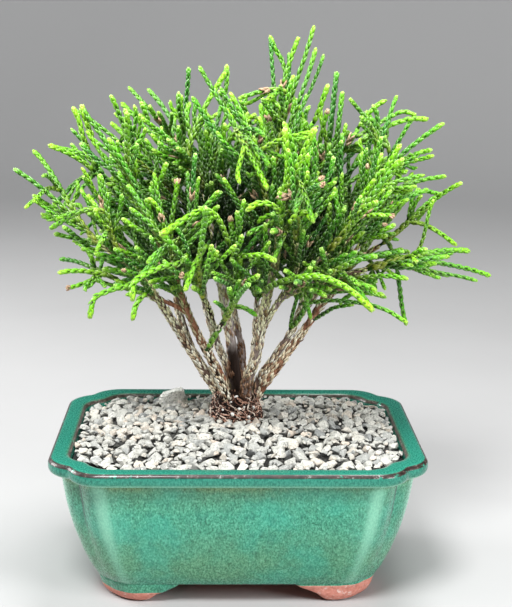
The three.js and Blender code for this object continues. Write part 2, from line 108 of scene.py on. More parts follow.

# Pot wall from its underside, up the bowed outside, over the lip and down to the cavity floor:
# height from the rim, inset from the lip's outer edge, and how much the glaze there is worn to
# brown, thinned to olive and pooled to deep green
# Under the lip, from 14 to 8.3 below the rim, the olive is also painted shade under its overhang
WALL = np.array([
    (BODY_BOTTOM, 29.6, 0, 0.4, 0), (-77.0, 27.0, 0, 0.1, 0), (-75.8, 24.9, 0, 0.1, 0),
    (-70, 21.7, 0, 0.5, 0.05), (-60, 17.7, 0, 0.5, 0.05), (-46, 13.3, 0, 0.3, 0.05), (-37, 11.1, 0, 0.1, 0),
    (-28, 9.3, 0, 0, 0), (-14, 7.2, 0, 0.35, 0), (-10.6, 6.6, 0, 1, 0), (-9.2, 6.2, 0.1, 1, 0.2),
    (-8.6, 5.2, 0.1, 0.9, 0.2), (-8.3, 1.9, 0, 0.4, 0.1), (-7.2, 0.6, 0, 0, 0.1), (-5.5, 0, 0, 0, 0.9),
    (-2.9, 0.1, 0, 0, 1), (-2.2, 0.25, 0.5, 0, 0.9), (-1.5, 0.6, 1, 0, 0.6), (-0.9, 1.1, 1, 0, 0.6),
    (-0.45, 1.7, 0.6, 0, 0.8), (-0.1, 2.6, 0, 0, 1), (0, 3.6, 0, 0, 1), (-0.1, 8.4, 0, 0, 1),
    (-0.3, 9.3, 0, 0.2, 0.9), (-0.9, 10.5, 0.5, 0.8, 0.6), (-2.0, LIP_INNER_EDGE, 1, 1, 0.8),
    (-3.2, 11.9, 0.3, 0.6, 1), (-5, 12.3, 0, 0, 1), (-28, 17.1, 0, 0, 1), (-46, 20.4, 0, 0, 1),
    (-64, 27.5, 0, 0, 1), (CAVITY_FLOOR, 35, 0, 0, 1),
])

# Feet: height, inset of the outer face, and where the inner faces lie from the pot's middle
FOOT = np.array([
    (-74.5, 26.4, 33, 12), (-76.4, 25.6, 33.2, 12.2), (-78, 25.9, 34, 13), (-79.6, 26.5, 36.5, 15),
    (-81.4, 27.0, 41, 18.5), (-83.6, 27.5, 45.5, 22), (-86, 28.5, 48, 24.5), (-88, 30, 50, 26),
    (-POT_HEIGHT, 31.7, 52, 28),
])
CLAY_LINE = {-1: 4, 1: 1}
CLAY_SHIFT = {-1: -0.9, 1: -0.8}

# Gravel bed: its level at the walls and the rise to its middle, the room that stones leave at the
# walls, corners and roots, and the slab under them, darkened as painted shade in the gaps, by height and
# inset
GRAVEL_EDGE_LEVEL = -3.4
GRAVEL_MOUND = 5.6
BED_MARGIN = 0.6
CORNER_ROOM = (0.78, 1.3)
ROOT_ROOM = (13.5, 0.7)
SHADE_SLAB = ((-13.7, 15.0), (-7.5, 13.4), (-5.5, 12.9), (-2.5, 45))

# Stones: how many shapes there are, the radii with the tries at placing each, the spacing, how
# their size and sides vary, and how they lean and sink
STONE_KINDS = 26
STONE_SIZES = [
    (5.2, 110), (4.5, 500), (3.8, 2000), (3.1, 3600), (2.4, 5200), (1.7, 6000), (1.3, 5000),
]
STONE_SPACING = 0.73
STONE_SCATTER = (0.88, 0.24)
STONE_STRETCH = ((1, 0.55), (0.78, 0.22), (0.56, 0.28))
STONE_LEAN = 0.9
STONE_SINK = 0.55
STONE_TOSS = 1.6
STONE_LIFT = 0.9
STONE_EDGE = 0.045
FLAT_BELOW = math.radians(14)

# Plainer stones in a loose grid under those, darkened as painted shade
UNDER_PITCH = 5.2
UNDER_TOSS = 0.7
UNDER_SIZES = (3.1, 0.8)
UNDER_SINK = 4.4

# The one large stone: where its middle lies, how it is turned and tipped, its outline, and the
# height, size and shift of its layers
BOULDER = {
    "middle": (-42.5, 57, 1.4), "turn": 0.12, "tip": 0.22, "room": (10, 6), "steps": 4,
    "outline": [
        (8.2, -3.6), (8.6, 0.4), (7.4, 3.8), (2.0, 4.8), (-4.2, 4.1), (-8.0, 1.9), (-8.6, -1.6),
        (-5.2, -4.2), (0.4, -5.0), (4.8, -4.6),
    ],
    "layers": [
        (-6, 0.7, 0), (-3.4, 0.96, 0), (-1.2, 1.0, 0), (-1.0, 0.93, 0.4), (0.9, 0.96, 0.5),
        (1.1, 0.88, 0.8), (2.6, 0.9, 0.9), (2.8, 0.8, 1.3), (4.0, 0.74, 1.6),
    ],
}

# Root crown: its axis, its heights and radii, how far out roots run at each height, and where
# grains of perlite sit on its front
ROOT = {"x": -1, "y": 20}
CROWN_PROFILE = [
    (-38, 9), (-30, 15.4), (-14, 16), (-4, 16), (0, 15.4), (4, 14.4), (8, 12.8), (12, 10.4),
    (15, 7.6), (17, 4),
]
CROWN_SIDES = 72
SOIL_LEVEL = -10
ROOT_COUNT = 420
ROOT_STEPS = 12
ROOT_REACH = ([-14, -4, 0, 4, 8, 12, 16, 20], [16, 16, 15.6, 14.8, 13.6, 12.4, 12.2, 13])
PERLITE = [(-1, 17), (1, 10), (-3, 7), (4, 11), (10, 10), (-4, 14), (7, 5), (-9, 9)]
PERLITE_SIZE = 1.15
PERLITE_REACH = ([0, 4, 8, 12, 18], [18.2, 17.4, 16.2, 14.6, 12.2])

# Brown stems: radius at the foot, how bare, grey and red the bark is, and the points that each passes
STEM_VALUES = ("radius", "bare", "grey", "red", "points")
STEMS = [dict(zip(STEM_VALUES, row)) for row in (
    (3.3, 0.1, 0.1, 0.2, [(-9, 22, 10), (-18, 14, 28), (-30, 3, 50), (-43, -10, 75), (-52, -15, 90)]),
    (2.9, 0.2, 0.2, 0.3, [(-9, 28, 10), (-25, 34, 32), (-34, 45, 52), (-38, 52, 66), (-37, 57, 92)]),
    (2.8, 0.45, 0.0, 0.9, [(-7, 18, 11), (-10, 12, 28), (-19, 3, 47), (-27, -6, 66), (-35, -14, 88)]),
    (2.8, 0.1, 0.2, 0.1, [(-4, 26, 11), (-6, 33, 27), (-13, 45, 42), (-20, 58, 62), (-24, 67, 86)]),
    (2.3, 0.0, 0.0, 0.0, [(-4, 12, 11), (-10, 3, 26), (-17, -8, 46), (-15, -17, 62)]),
    (4.0, 0.85, 1.0, 0.1, [(0, 22, 10), (-1, 22, 26), (-4, 20, 50), (-9, 16, 80), (-13, 14, 112)]),
    (2.6, 0.3, 0.4, 0.2, [(2, 28, 9), (3, 38, 36), (-2, 50, 62), (-2, 62, 98)]),
    (3.6, 0.2, 0.4, 0.3, [(5, 16, 11), (6, 10, 27), (11, 0, 46), (14, -11, 72), (20, -21, 104)]),
    (1.9, 0.3, 0.3, 0.2, [(13, -7, 62), (20, -13, 76), (29, -20, 92)]),
    (2.2, 0.1, 0.1, 0.2, [(7, 28, 9), (10, 42, 28), (12, 56, 50), (14, 70, 86)]),
    (2.6, 0.2, 0.2, 0.3, [(11, 20, 11), (13, 18, 24), (23, 12, 42), (34, 8, 62), (42, 16, 86)]),
    (1.9, 0.2, 0.1, 0.3, [(33, 8, 61), (41, -2, 77), (49, -10, 94)]),
    (3.2, 0.35, 0.0, 0.7, [(9, 24, 7), (17, 26, 20), (34, 32, 42), (52, 40, 67), (64, 46, 90)]),
)]
STEM_TIP_SHARE = 0.62
STEM_STEPS = 5
TWIG_RADIUS = 1.6
TWIG_TIP_RADIUS = 1.25
TWIG_STEPS = 2
TWIG_REACH = 0.38
TWIG_DROP = 0.09
SINK_BELOW = 20
SUNK_SHARE = 0.25
SUNK_BEND = 5
# Painted shade at the feet of the stems: near black below the first height and none above the second, for the
# grey stem and for the brown ones
GREY_FOOT = (42, 55)
BROWN_FOOT = (6, 16)
FOOT_DARKNESS = (0.98, 0)
STEM_FINE_STEPS = 44
TWIG_FINE_STEPS = 14
STEM_SIDES = 12
TWIG_SIDES = 8

# Whip tips that the photograph shows: left side, upper left, top, right side, then the face
SEEN_TIPS = [
    (-129, -5, 156), (-123, 30, 163), (-117, -20, 140), (-98, 20, 189), (-89, -15, 192),
    (-102, 45, 175), (-106, 10, 101), (-118, 40, 123), (-108, -15, 124), (-77, -25, 92),
    (-87, 30, 97), (-87, -5, 71), (-64, 20, 62),
    (-74, 0, 198), (-62, -45, 192), (-67, 50, 200), (-54, -40, 189), (-47, -10, 190),
    (-41, 40, 189), (-30, 5, 214), (-23, -25, 216), (-12, 35, 199), (-8, 15, 213), (-1, -20, 199),
    (17, 10, 232), (41, 0, 238), (57, 25, 211), (61, -20, 199), (21, -35, 207), (22, -65, 190),
    (36, -70, 184), (78, 45, 187),
    (91, 10, 199), (94, 50, 188), (106, 35, 187), (115, -10, 185), (76, -45, 180), (89, -25, 174),
    (114, 20, 167), (87, -50, 169), (102, -30, 158), (132, 15, 148), (125, 40, 138),
    (72, -65, 148), (83, -50, 138), (112, 45, 121), (106, -25, 115), (150, 5, 94), (126, 40, 85),
    (107, -15, 106), (104, 25, 59), (79, 40, 90),
    (-60, -50, 141), (-43, -65, 130), (-19, -80, 146), (-25, -60, 113), (-1, -45, 113),
    (18, -55, 114), (16, -75, 133), (37, -80, 140), (41, -88, 160), (72, -55, 88), (64, -40, 99),
]

# Where the photograph shows none, tips spread evenly over this rounded crown
CROWN = {"x": 9, "y": 20, "z": 112, "side": 132, "front": 104, "back": 100, "up": 100, "down": 46}
TIP_COUNT = 134
TIP_SPACING = 25
TRIES_FOR_TIPS = 9000
TIP_REACH = (0.84, 1)
TIP_RISE = (-0.8, 1)
TURN_COST = 0.5
LOAD_COST = 5
WHIPS_IN_SPRAY = 3.5

# Growth of the whips, as in the solids
GAP = 0.3
SCALE_RADIUS = 2.35
WHIP_DROOP = 0.3
WHIP_CLEARANCE = 0.75
TRY_COUNT = 70
TRIES_AT_FULL_LENGTH = 40
SHORTENING = 0.015
NUDGE = 0.1
BEND = 0.005
FIRST_FORK = 0.16
FORK_STEP = 0.2
SAMPLE_STEP = 3
SEED = 11

# Scale leaves in opposite pairs: how far the newest pairs sit from the tip, and the pitch below
TIP_NODES = (0.9, 2.1, 3.6, 5.4, 7.5)
LEAF_PITCH = 2.4
LEAF_LENGTH = 4.5
LEAF_HALF_WIDTH = 1.4
LEAF_THICKNESS = 0.75
LEAF_ROOT = 0.35
LEAF_SPREAD = 1.2
CORE_RADIUS = 0.9
FINE_STEPS = 40
FINE_SHARES = np.linspace(0, 1, FINE_STEPS + 1)[:, None]

# Size, opening and length of leaves at distances from the tip of their whip
LEAF_TAPER = ([0.5, 2, 4, 7, 12, 60], [0.82, 1.0, 1.08, 1.05, 1.0, 0.94])
LEAF_OPENING = ([0.5, 1.5, 2.5, 4, 7], [0.1, 0.5, 0.8, 0.98, 1.0])
LEAF_GROWTH = ([0.5, 2, 4, 7], [0.5, 0.68, 0.86, 1.0])

# Whips that the photograph shows bent over or past the grown ones: how wide and fresh each is, and
# its points from foot to tip
ARCHED_WHIPS = [
    (1.15, 0.9, [(-6, -48, 120), (-12, -58, 136), (-19, -66, 143), (-27, -72, 141), (-42, -78, 132)]),
    (1.05, 0.8, [(22, -62, 141), (16, -66, 146), (9, -68, 147), (3, -70, 144)]),
    (1.0, 0.9, [(25, -60, 135), (29, -64, 140), (33, -67, 142), (38, -70, 138)]),
    (1.1, 0.7, [(-6, -46, 111), (-1, -52, 115), (5, -58, 117), (11, -62, 118), (18, -66, 116)]),
    (1.3, 1.0, [(13, -30, 91), (19, -44, 98), (29, -56, 104), (42, -66, 107), (56, -74, 103),
                (69, -80, 93)]),
    (1.15, 0.9, [(21, -40, 117), (22, -52, 136), (23, -60, 153), (24, -66, 167), (22, -72, 186)]),
    (1.1, 0.9, [(23, -60, 153), (27, -66, 162), (32, -72, 175), (37, -76, 187)]),
    (0.95, 0.2, [(35, -14, 80), (52, -26, 85), (68, -36, 86), (81, -43, 84), (93, -48, 78)]),
    (1.1, 0.6, [(-28, -50, 118), (-33, -58, 113), (-44, -64, 111), (-56, -70, 105), (-58, -74, 96)]),
    (1.05, 0.5, [(-50, -40, 108), (-61, -44, 98), (-72, -48, 95), (-80, -50, 91), (-83, -52, 81)]),
    (1.0, 0.5, [(-17, -52, 124), (-24, -60, 114), (-27, -64, 107), (-30, -68, 100)]),
    (1.15, 0.6, [(-19, -18, 53), (-14, -23, 63), (-9, -27, 73), (-5, -31, 83), (-2, -35, 92),
                 (-1, -40, 103), (0, -45, 114)]),
    (0.9, 0.0, [(31, 6, 60), (32, 0, 70), (34, -5, 81), (36, -12, 93)]),
    (1.0, 0.2, [(31, 6, 60), (36, 0, 68), (40, -6, 79), (43, -12, 88), (45, -18, 95)]),
    (0.9, 0.1, [(47, 26, 61), (53, 16, 68), (58, 8, 73), (68, 0, 77)]),
    (1.05, 0.5, [(-84, 4, 154), (-92, 1, 161), (-102, -2, 167), (-109, -4, 170)]),
    (1.0, 0.3, [(-83, 8, 156), (-90, 8, 163), (-99, 9, 166), (-108, 10, 167)]),
    (1.05, 0.7, [(-86, -8, 167), (-89, -12, 176), (-91, -14, 185), (-94, -15, 192)]),
    (1.1, 0.9, [(-84, -8, 174), (-86, -12, 181), (-88, -14, 188), (-89, -15, 193)]),
    (1.1, 0.5, [(65, 5, 170), (77, 6, 177), (89, 8, 183), (100, 9, 186), (109, 10, 186)]),
    (1.0, 0.3, [(70, 30, 173), (80, 33, 179), (91, 35, 185), (98, 35, 188), (105, 35, 187)]),
    (1.05, 0.5, [(69, 12, 180), (75, 14, 188), (80, 15, 193), (85, 15, 196)]),
    (1.0, 0.2, [(88, 8, 143), (98, 11, 147), (110, 14, 150), (122, 15, 152)]),
    (0.95, 0.1, [(87, 18, 138), (100, 24, 139), (112, 28, 141), (123, 30, 139)]),
    (1.0, 0.1, [(-52, 0, 182), (-54, -7, 189), (-56, -11, 195)]),
    (1.1, 0.4, [(41, -14, 185), (44, -17, 193), (46, -19, 200), (48, -20, 206)]),
    (1.0, 0.2, [(30, 4, 199), (27, 6, 208), (24, 8, 218), (20, 9, 225), (17, 10, 232)]),
    (1.05, 0.2, [(-10, 14, 189), (-9, 15, 198), (-8, 15, 207), (-8, 15, 215)]),
    (1.1, 0.4, [(-51, -34, 92), (-55, -38, 89), (-58, -41, 85), (-60, -43, 78)]),
]

# Openings in the crown's edge that the photograph shows: their middles across and up, half their
# widths and half their heights, in the upright plane through the middle of the crown
OPENINGS = np.array([
    (117, 121, 22, 17), (98, 171, 14, 7), (81, 95, 16, 6), (100, 86, 16, 8), (81, 108, 14, 4),
    (-94, 95, 13, 9), (-111, 141, 12, 6), (-78, 179, 6, 7), (-90, 117, 8, 5), (-40, 106, 4, 4),
    (13, 206, 9, 8), (-24, 203, 4, 6), (53, 195, 3, 6), (69, 189, 3, 5), (-118, 158, 5, 4),
])

# More whips that run beside the grown ones: one to so many millimetres of a whip, where they
# leave it and end beside it, how far off, and how far from the fork they may touch it
PLUME_PITCH = 14
PLUME_TRIES = 9
PLUME_LEAVE = (0.02, 0.45)
PLUME_ARRIVE = (0.46, 0.93)
PLUME_GAP = (5.5, 12)
PLUME_TURN = 0.5
PLUME_FORK = 12

# Still more between those: their tips in the crown, and how long and straight they are
FILL_COUNT = 900
FILL_TRIES = 90000
FILL_SPACING = 7.2
FILL_REACH = (0.15, 0.88)
FILL_RISE = (-0.75, 1)
FILL_LENGTH = (28, 66)
LEAST_FILL_LENGTH = 13
FILL_TURN_COST = 60
SWEEP_FROM = np.array([4.0, 20.0, 52.0])
LEAST_SWEEP = 0.8
FILL_BENDS = 12
FILL_FORK = 7
WHIP_SPACING = 3.1
CROWD_MARGIN = 4

# Below this height no added whip hangs before the bare stems: near the middle, beyond it, and the
# change with depth
STEM_VIEW = {"near": 84, "far": 72, "reach": 62, "slope": 0.23}

# Where the shade inside the crown ends and begins, from which shade on leaves are made with fewer
# faces, and how many whips have a dry tip or joint
SHADE_REACH = (0.38, 0.82)
FINE_SHADE = 0.4
DRY_TIPS = 0.025
DRY_JOINTS = 0.075
DRY_TIP = 3
DRY_JOINT = 2.7

# Dried scale leaves on the stems, which turn green and stay whole higher up
FLAKE_PITCH = {"stem": 1.8, "twig": 2.7}
FLAKES_AROUND = {"stem": 2.4, "twig": 2.0}
FLAKE_LENGTH = 4.3
FLAKE_HALF_WIDTH = 0.84
FLAKE_THICKNESS = 0.42
GREEN_FROM = 55
GREEN_RISE = 35
WHOLE_ABOVE = 84

# Painted shade on the dried scales in the hollow between the stems
HOLLOW_SHADE = {"x": 1, "y": 8, "side": 8, "edge": 4, "top": 54, "fade": 12}

BED_SEED = 12
LOOKS_SEED = 21

# Studio: distances in metres and powers in watts
LIGHTS = {
    "key": {"place": (-0.27, -0.70, 1.15), "size": 0.4, "power": 24.5},
    "fill": {"place": (0.85, -0.72, 0.60), "size": 0.5, "power": 12},
    "top": {"place": (0.15, 0.05, 1.30), "size": 0.5, "power": 16},
    "back": {"place": (-0.95, 0.35, 0.55), "size": 0.5, "power": 11},
}
LIT_HEIGHT = 0.15
WORLD_COLOUR = (0.86, 0.88, 0.90)
WORLD_STRENGTH = 0.2
FLOOR_RADII = (0.2, 0.4, 0.7, 1.0, 1.3, 1.6)
FLOOR_CURVE = 1.2
FLOOR_CURVE_STEPS = 12
FLOOR_TOP = 2.4
FLOOR_SIDES = 96
FAR_FROM = 0.6
FAR_FADE = 1.9
DARK_ABOVE = 0.48
DARK_FADE = 0.25


# Small helpers

def seeded(seed):
    """The same stream of numbers from 0 to 1 as the solids are grown with"""
    mask = 0xFFFFFFFF
    state = seed

    def draw():
        nonlocal state
        state = (state + 0x6D2B79F5) & mask
        mixed = ((state ^ (state >> 15)) * (1 | state)) & mask
        mixed = ((mixed + (((mixed ^ (mixed >> 7)) * (61 | mixed)) & mask)) & mask) ^ mixed
        return (mixed ^ (mixed >> 14)) / 4294967296

    return draw


def vector(values):
    return np.array(values, float)


def length_of(v):
    return math.sqrt(v[0] * v[0] + v[1] * v[1] + v[2] * v[2])


def unit(v):
    return v / length_of(v)


def mix(low, high, share):
    return low + (high - low) * share


def drawn(random, least, spread):
    """The next random number, brought to the range that starts at least and is spread wide"""
    return least + spread * random()


def bezier(points, t):
    """Point at t on the curve of three or four control points"""
    k = 1 - t
    if len(points) == 3:
        weights = (k * k, 2 * k * t, t * t)
    else:
        weights = (k * k * k, 3 * k * k * t, 3 * k * t * t, t * t * t)
    return sum(weight * point for weight, point in zip(weights, points))


def catmull_rom(points, t):
    """Point at t on the smooth open curve through points, which runs evenly past both ends"""
    last = len(points) - 1
    place = last * t
    index = min(int(math.floor(place)), last - 1)
    weight = place - index
    p1, p2 = points[index], points[index + 1]
    p0 = points[index - 1] if index > 0 else 2 * points[0] - points[1]
    p3 = points[index + 2] if index + 2 <= last else 2 * points[last] - points[last - 1]
    t0 = 0.5 * (p2 - p0)
    t1 = 0.5 * (p3 - p1)
    c2 = -3 * p1 + 3 * p2 - 2 * t0 - t1
    c3 = 2 * p1 - 2 * p2 + t0 + t1
    return p1 + t0 * weight + c2 * weight * weight + c3 * weight * weight * weight


def frames(path):
    """Directions along and across a path at each of its points, carried along without twist"""
    path = np.asarray(path)
    ahead = np.vstack([path[1:], path[-1:]])
    behind = np.vstack([path[:1], path[:-1]])
    along = ahead - behind
    along /= np.linalg.norm(along, axis=1)[:, None]
    hint = vector((0, 0, 1)) if abs(along[0][2]) < 0.9 else vector((1, 0, 0))
    side = unit(np.cross(hint, along[0]))
    across = []
    for direction in along:
        side = unit(side - direction * side.dot(direction))
        across.append(side)
    across = np.array(across)
    return along, across, np.cross(along, across)


def spaced(path, distances):
    """Points at given distances along a path of many short steps"""
    steps = np.linalg.norm(np.diff(path, axis=0), axis=1)
    run = np.concatenate([[0], np.cumsum(steps)])
    return np.column_stack([np.interp(distances, run, path[:, axis]) for axis in range(3)])


def path_length(path):
    return float(np.linalg.norm(np.diff(path, axis=0), axis=1).sum())


class Form:
    """Points, faces and values per point of one piece, gathered in millimetres"""

    def __init__(self, *names):
        self.points = []
        self.faces = []
        self.slots = []
        self.values = {name: [] for name in names}
        self.count = 0

    def add(self, points, faces, slot=0, **values):
        points = np.asarray(points, float).reshape(-1, 3)
        start = self.count
        self.points.append(points)
        self.faces.extend([tuple(index + start for index in face) for face in faces])
        self.slots.extend([slot] * len(faces))
        for name, gathered in self.values.items():
            value = values.get(name, 0.0)
            gathered.append(np.broadcast_to(np.asarray(value, float), (len(points),)))
        self.count += len(points)

    def build(self, name, materials, smooth=True):
        """The object, with its place in its mesh"""
        points = np.vstack(self.points) * MILLIMETRE + ORIGIN
        mesh = bpy.data.meshes.new(name)
        mesh.from_pydata(points.tolist(), [], self.faces)
        for material in materials:
            mesh.materials.append(material)
        mesh.polygons.foreach_set("material_index", self.slots)
        mesh.polygons.foreach_set("use_smooth", [smooth] * len(self.faces))
        for attribute, gathered in self.values.items():
            layer = mesh.attributes.new(attribute, "FLOAT", "POINT")
            layer.data.foreach_set("value", np.concatenate(gathered).astype(np.float32))
        mesh.update()
        piece = bpy.data.objects.new(name, mesh)
        bpy.context.scene.collection.objects.link(piece)
        return piece


def stack_faces(rings, size):
    """Faces of a skin over a stack of rings that turn left as seen from where the stack leads"""
    faces = []
    for r in range(rings - 1):
        for i in range(size):
            a = r * size + i
            b = r * size + (i + 1) % size
            faces.append((a, b, b + size, a + size))
    return faces


def capped_faces(rings, size):
    """The same with a face that closes each end"""
    faces = stack_faces(rings, size)
    faces.append(tuple(reversed(range(size))))
    faces.append(tuple(range((rings - 1) * size, rings * size)))
    return faces


def rough_at(*place):
    """Smooth noise from -1 to 1 at a place"""
    return noise.noise(Vector(place))


def tube(form, path, radii, sides, slot=0, ridges=None, **values):
    """Closed round tube along a path, with a radius at each point; ridges scale single corners"""
    along, across, over = frames(path)
    angles = 2 * np.pi * np.arange(sides) / sides
    reach = np.asarray(radii)[:, None] * (np.ones((1, sides)) if ridges is None else ridges)
    points = (np.asarray(path)[:, None, :]
              + across[:, None, :] * (reach * np.cos(angles))[:, :, None]
              + over[:, None, :] * (reach * np.sin(angles))[:, :, None])
    spread = {name: np.repeat(value, sides) if np.ndim(value) else value for name, value in values.items()}
    form.add(points, capped_faces(len(path), sides), slot, **spread)


# Growth, the same as that of the solids

grow = seeded(SEED)


def stem_radius(stem, share):
    return stem["radius"] * (1 - (1 - STEM_TIP_SHARE) * share)


def stem_shape(stem):
    points = [vector(point) for point in stem["points"]]
    path = [catmull_rom(points, i / STEM_STEPS) for i in range(STEM_STEPS + 1)]
    radii = [stem_radius(stem, i / STEM_STEPS) for i in range(STEM_STEPS + 1)]
    return {
        "points": points, "path": path, "radii": radii, "end": path[-1], "looks": stem,
        "direction": unit(path[-1] - path[-2]), "tip_radius": radii[-1],
    }


def place_in_crown(turn, rise, reach):
    level = math.sqrt(1 - rise * rise)
    depth = CROWN["front"] if math.sin(turn) < 0 else CROWN["back"]
    height = CROWN["down"] if rise < 0 else CROWN["up"]
    return vector((
        CROWN["x"] + CROWN["side"] * reach * level * math.cos(turn),
        CROWN["y"] + depth * reach * level * math.sin(turn),
        CROWN["z"] + height * reach * rise,
    ))


def all_tips():
    """Tips of the whips: those seen, then seeded ones at least one spacing away from all others"""
    tips = [vector(tip) for tip in SEEN_TIPS]
    for _ in range(TRIES_FOR_TIPS):
        if len(tips) == TIP_COUNT:
            break
        tip = place_in_crown(2 * math.pi * grow(), mix(*TIP_RISE, grow()), mix(*TIP_REACH, grow()))
        if np.linalg.norm(np.array(tips) - tip, axis=1).min() > TIP_SPACING:
            tips.append(tip)
    return tips


def tips_by_stem(stems, tips):
    """Each tip is carried by the stem that leads to it best, with the load shared out"""
    carried = [[] for _ in stems]
    for tip in tips:
        costs = []
        for s, stem in enumerate(stems):
            reach = tip - stem["end"]
            distance = length_of(reach)
            turned = 1 - reach.dot(stem["direction"]) / distance
            costs.append(distance * (1 + TURN_COST * turned) + LOAD_COST * len(carried[s]))
        carried[costs.index(min(costs))].append(tip)
    return carried


def spray_groups(end, tips):
    """Tips of a stem in sprays: the farthest free tip, with its nearest neighbours"""
    free = list(tips)
    groups = []
    count = max(1, math.floor(len(tips) / WHIPS_IN_SPRAY + 0.5))
    for left in range(count, 0, -1):
        if not free:
            break
        free.sort(key=lambda tip: -length_of(tip - end))
        lead = free.pop(0)
        free.sort(key=lambda tip: length_of(tip - lead))
        mates = math.ceil((len(free) + 1) / left) - 1
        groups.append([lead] + free[:mates])
        free = free[mates:]
    return groups


def twig_shape(stem, group, order):
    """Twig to the middle of a spray's reach. The first of a stem is the stem's own end."""
    centre = sum(group) / len(group)
    hub = mix(stem["end"], centre, TWIG_REACH)
    start = catmull_rom(stem["points"], 1 - TWIG_DROP * order)
    chord = hub - start
    bend = start + chord * (0.3 if order else 0.1)
    bend = bend + stem["direction"] * ((0.15 if order else 0.35) * length_of(chord))
    thickness = TWIG_RADIUS if order else stem["tip_radius"]
    path = [bezier((start, bend, hub), i / TWIG_STEPS) for i in range(TWIG_STEPS + 1)]
    radii = [mix(thickness, TWIG_TIP_RADIUS, i / TWIG_STEPS) for i in range(TWIG_STEPS + 1)]
    twig = {
        "end": hub, "direction": unit(hub - path[TWIG_STEPS - 1]), "bend": (start, bend, hub),
        "thickness": thickness, "stem": stem, "order": order, "name": None,
    }
    if order == 0:
        path = stem["path"][:-1] + path
        radii = stem["radii"][:-1] + radii
    twig["path"] = path
    twig["radii"] = radii
    return twig


def samples(twig):
    """Points along a stem or twig, a sample step apart, and the radius at each"""
    points = []
    radii = []
    for i in range(len(twig["path"]) - 1):
        low, high = twig["path"][i], twig["path"][i + 1]
        steps = math.ceil(length_of(high - low) / SAMPLE_STEP)
        for k in range(steps + 1):
            share = k / steps
            points.append(mix(low, high, share))
            radii.append(mix(twig["radii"][i], twig["radii"][i + 1], share))
    return points, radii


def jitter(amount):
    return vector((grow() - 0.5, grow() - 0.5, grow() - 0.5)) * (2 * amount)


def whip_curve(start, direction, tip, amount):
    """Whip from a start, leaving in a direction, to its tip, which bends down by its reach"""
    chord = tip - start
    length = length_of(chord)
    level = math.hypot(chord[0], chord[1]) / length
    landing = chord / length
    landing[2] -= WHIP_DROOP * level
    landing = unit(landing)
    first = start + direction * (0.33 * length)
    second = tip - landing * (0.33 * length)
    second = second + jitter(amount * length)
    return (start, first, second, tip), length


class Taken:
    """Points that whips keep clear of, with their radii and owners"""

    def __init__(self):
        self.points = np.zeros((0, 3))
        self.radii = np.zeros(0)
        self.owners = np.zeros(0, int)

    def add(self, points, radii, owner):
        self.points = np.vstack([self.points, points])
        self.radii = np.concatenate([self.radii, radii])
        self.owners = np.concatenate([self.owners, np.full(len(points), owner)])

    def clear(self, path, owner):
        other = self.owners != owner
        points = self.points[other]
        near = self.radii[other] + SCALE_RADIUS + WHIP_CLEARANCE
        gaps = np.linalg.norm(path[:, None, :] - points[None, :, :], axis=2)
        return bool((gaps > near[None, :]).all())


def grown_whip(start, direction, wish, owner, taken):
    """First of many bends of a whip that stays clear of every other spray and of the wood"""
    for attempt in range(TRY_COUNT):
        shortening = SHORTENING * max(attempt - TRIES_AT_FULL_LENGTH, 0)
        nudged = wish + jitter(NUDGE * attempt)
        tip = mix(nudged, start, shortening)
        curve, length = whip_curve(start, direction, tip, BEND * attempt)
        steps = math.ceil(length / SAMPLE_STEP)
        path = bezier(curve, (np.arange(steps + 1) / steps)[:, None])
        if taken.clear(path, owner):
            return {"curve": curve, "path": path}
    return None


def grown_spray(twig, group, owner, taken):
    """A spray: its main whip goes on from the twig, and the others leave the main whip"""
    start = twig["end"] + twig["direction"] * GAP
    main = grown_whip(start, twig["direction"], group[0], owner, taken)
    if main is None:
        return None
    whips = [main]
    for i, wish in enumerate(group[1:]):
        share = FIRST_FORK + FORK_STEP * i
        fork = bezier(main["curve"], share)
        onward = unit(bezier(main["curve"], share + 0.02) - fork)
        aside = unit(wish - fork)
        side = grown_whip(fork, unit(onward + aside), wish, owner, taken)
        if side is not None:
            whips.append(side)
    return whips


def grow_tree():
    """All twigs, and the sprays of whips with the names of the solids that they stand for"""
    stems = [stem_shape(stem) for stem in STEMS]
    carried = tips_by_stem(stems, all_tips())
    plans = []
    for s, stem in enumerate(stems):
        for order, group in enumerate(spray_groups(stem["end"], carried[s])):
            plans.append((twig_shape(stem, group, order), group))
    taken = Taken()
    for owner, (twig, _) in enumerate(plans):
        taken.add(*samples(twig), owner)
    sprays = {}
    for owner, (twig, group) in enumerate(plans):
        whips = grown_spray(twig, group, owner, taken)
        if whips:
            points = np.vstack([whip["path"] for whip in whips])
            taken.add(points, np.full(len(points), SCALE_RADIUS), len(plans) + owner)
            for whip in whips:
                whip["roll"] = math.pi * grow()
            twig["name"] = f"spray_{len(sprays) + 1:02d}"
            sprays[twig["name"]] = whips
    return [twig for twig, _ in plans], sprays


# Node materials

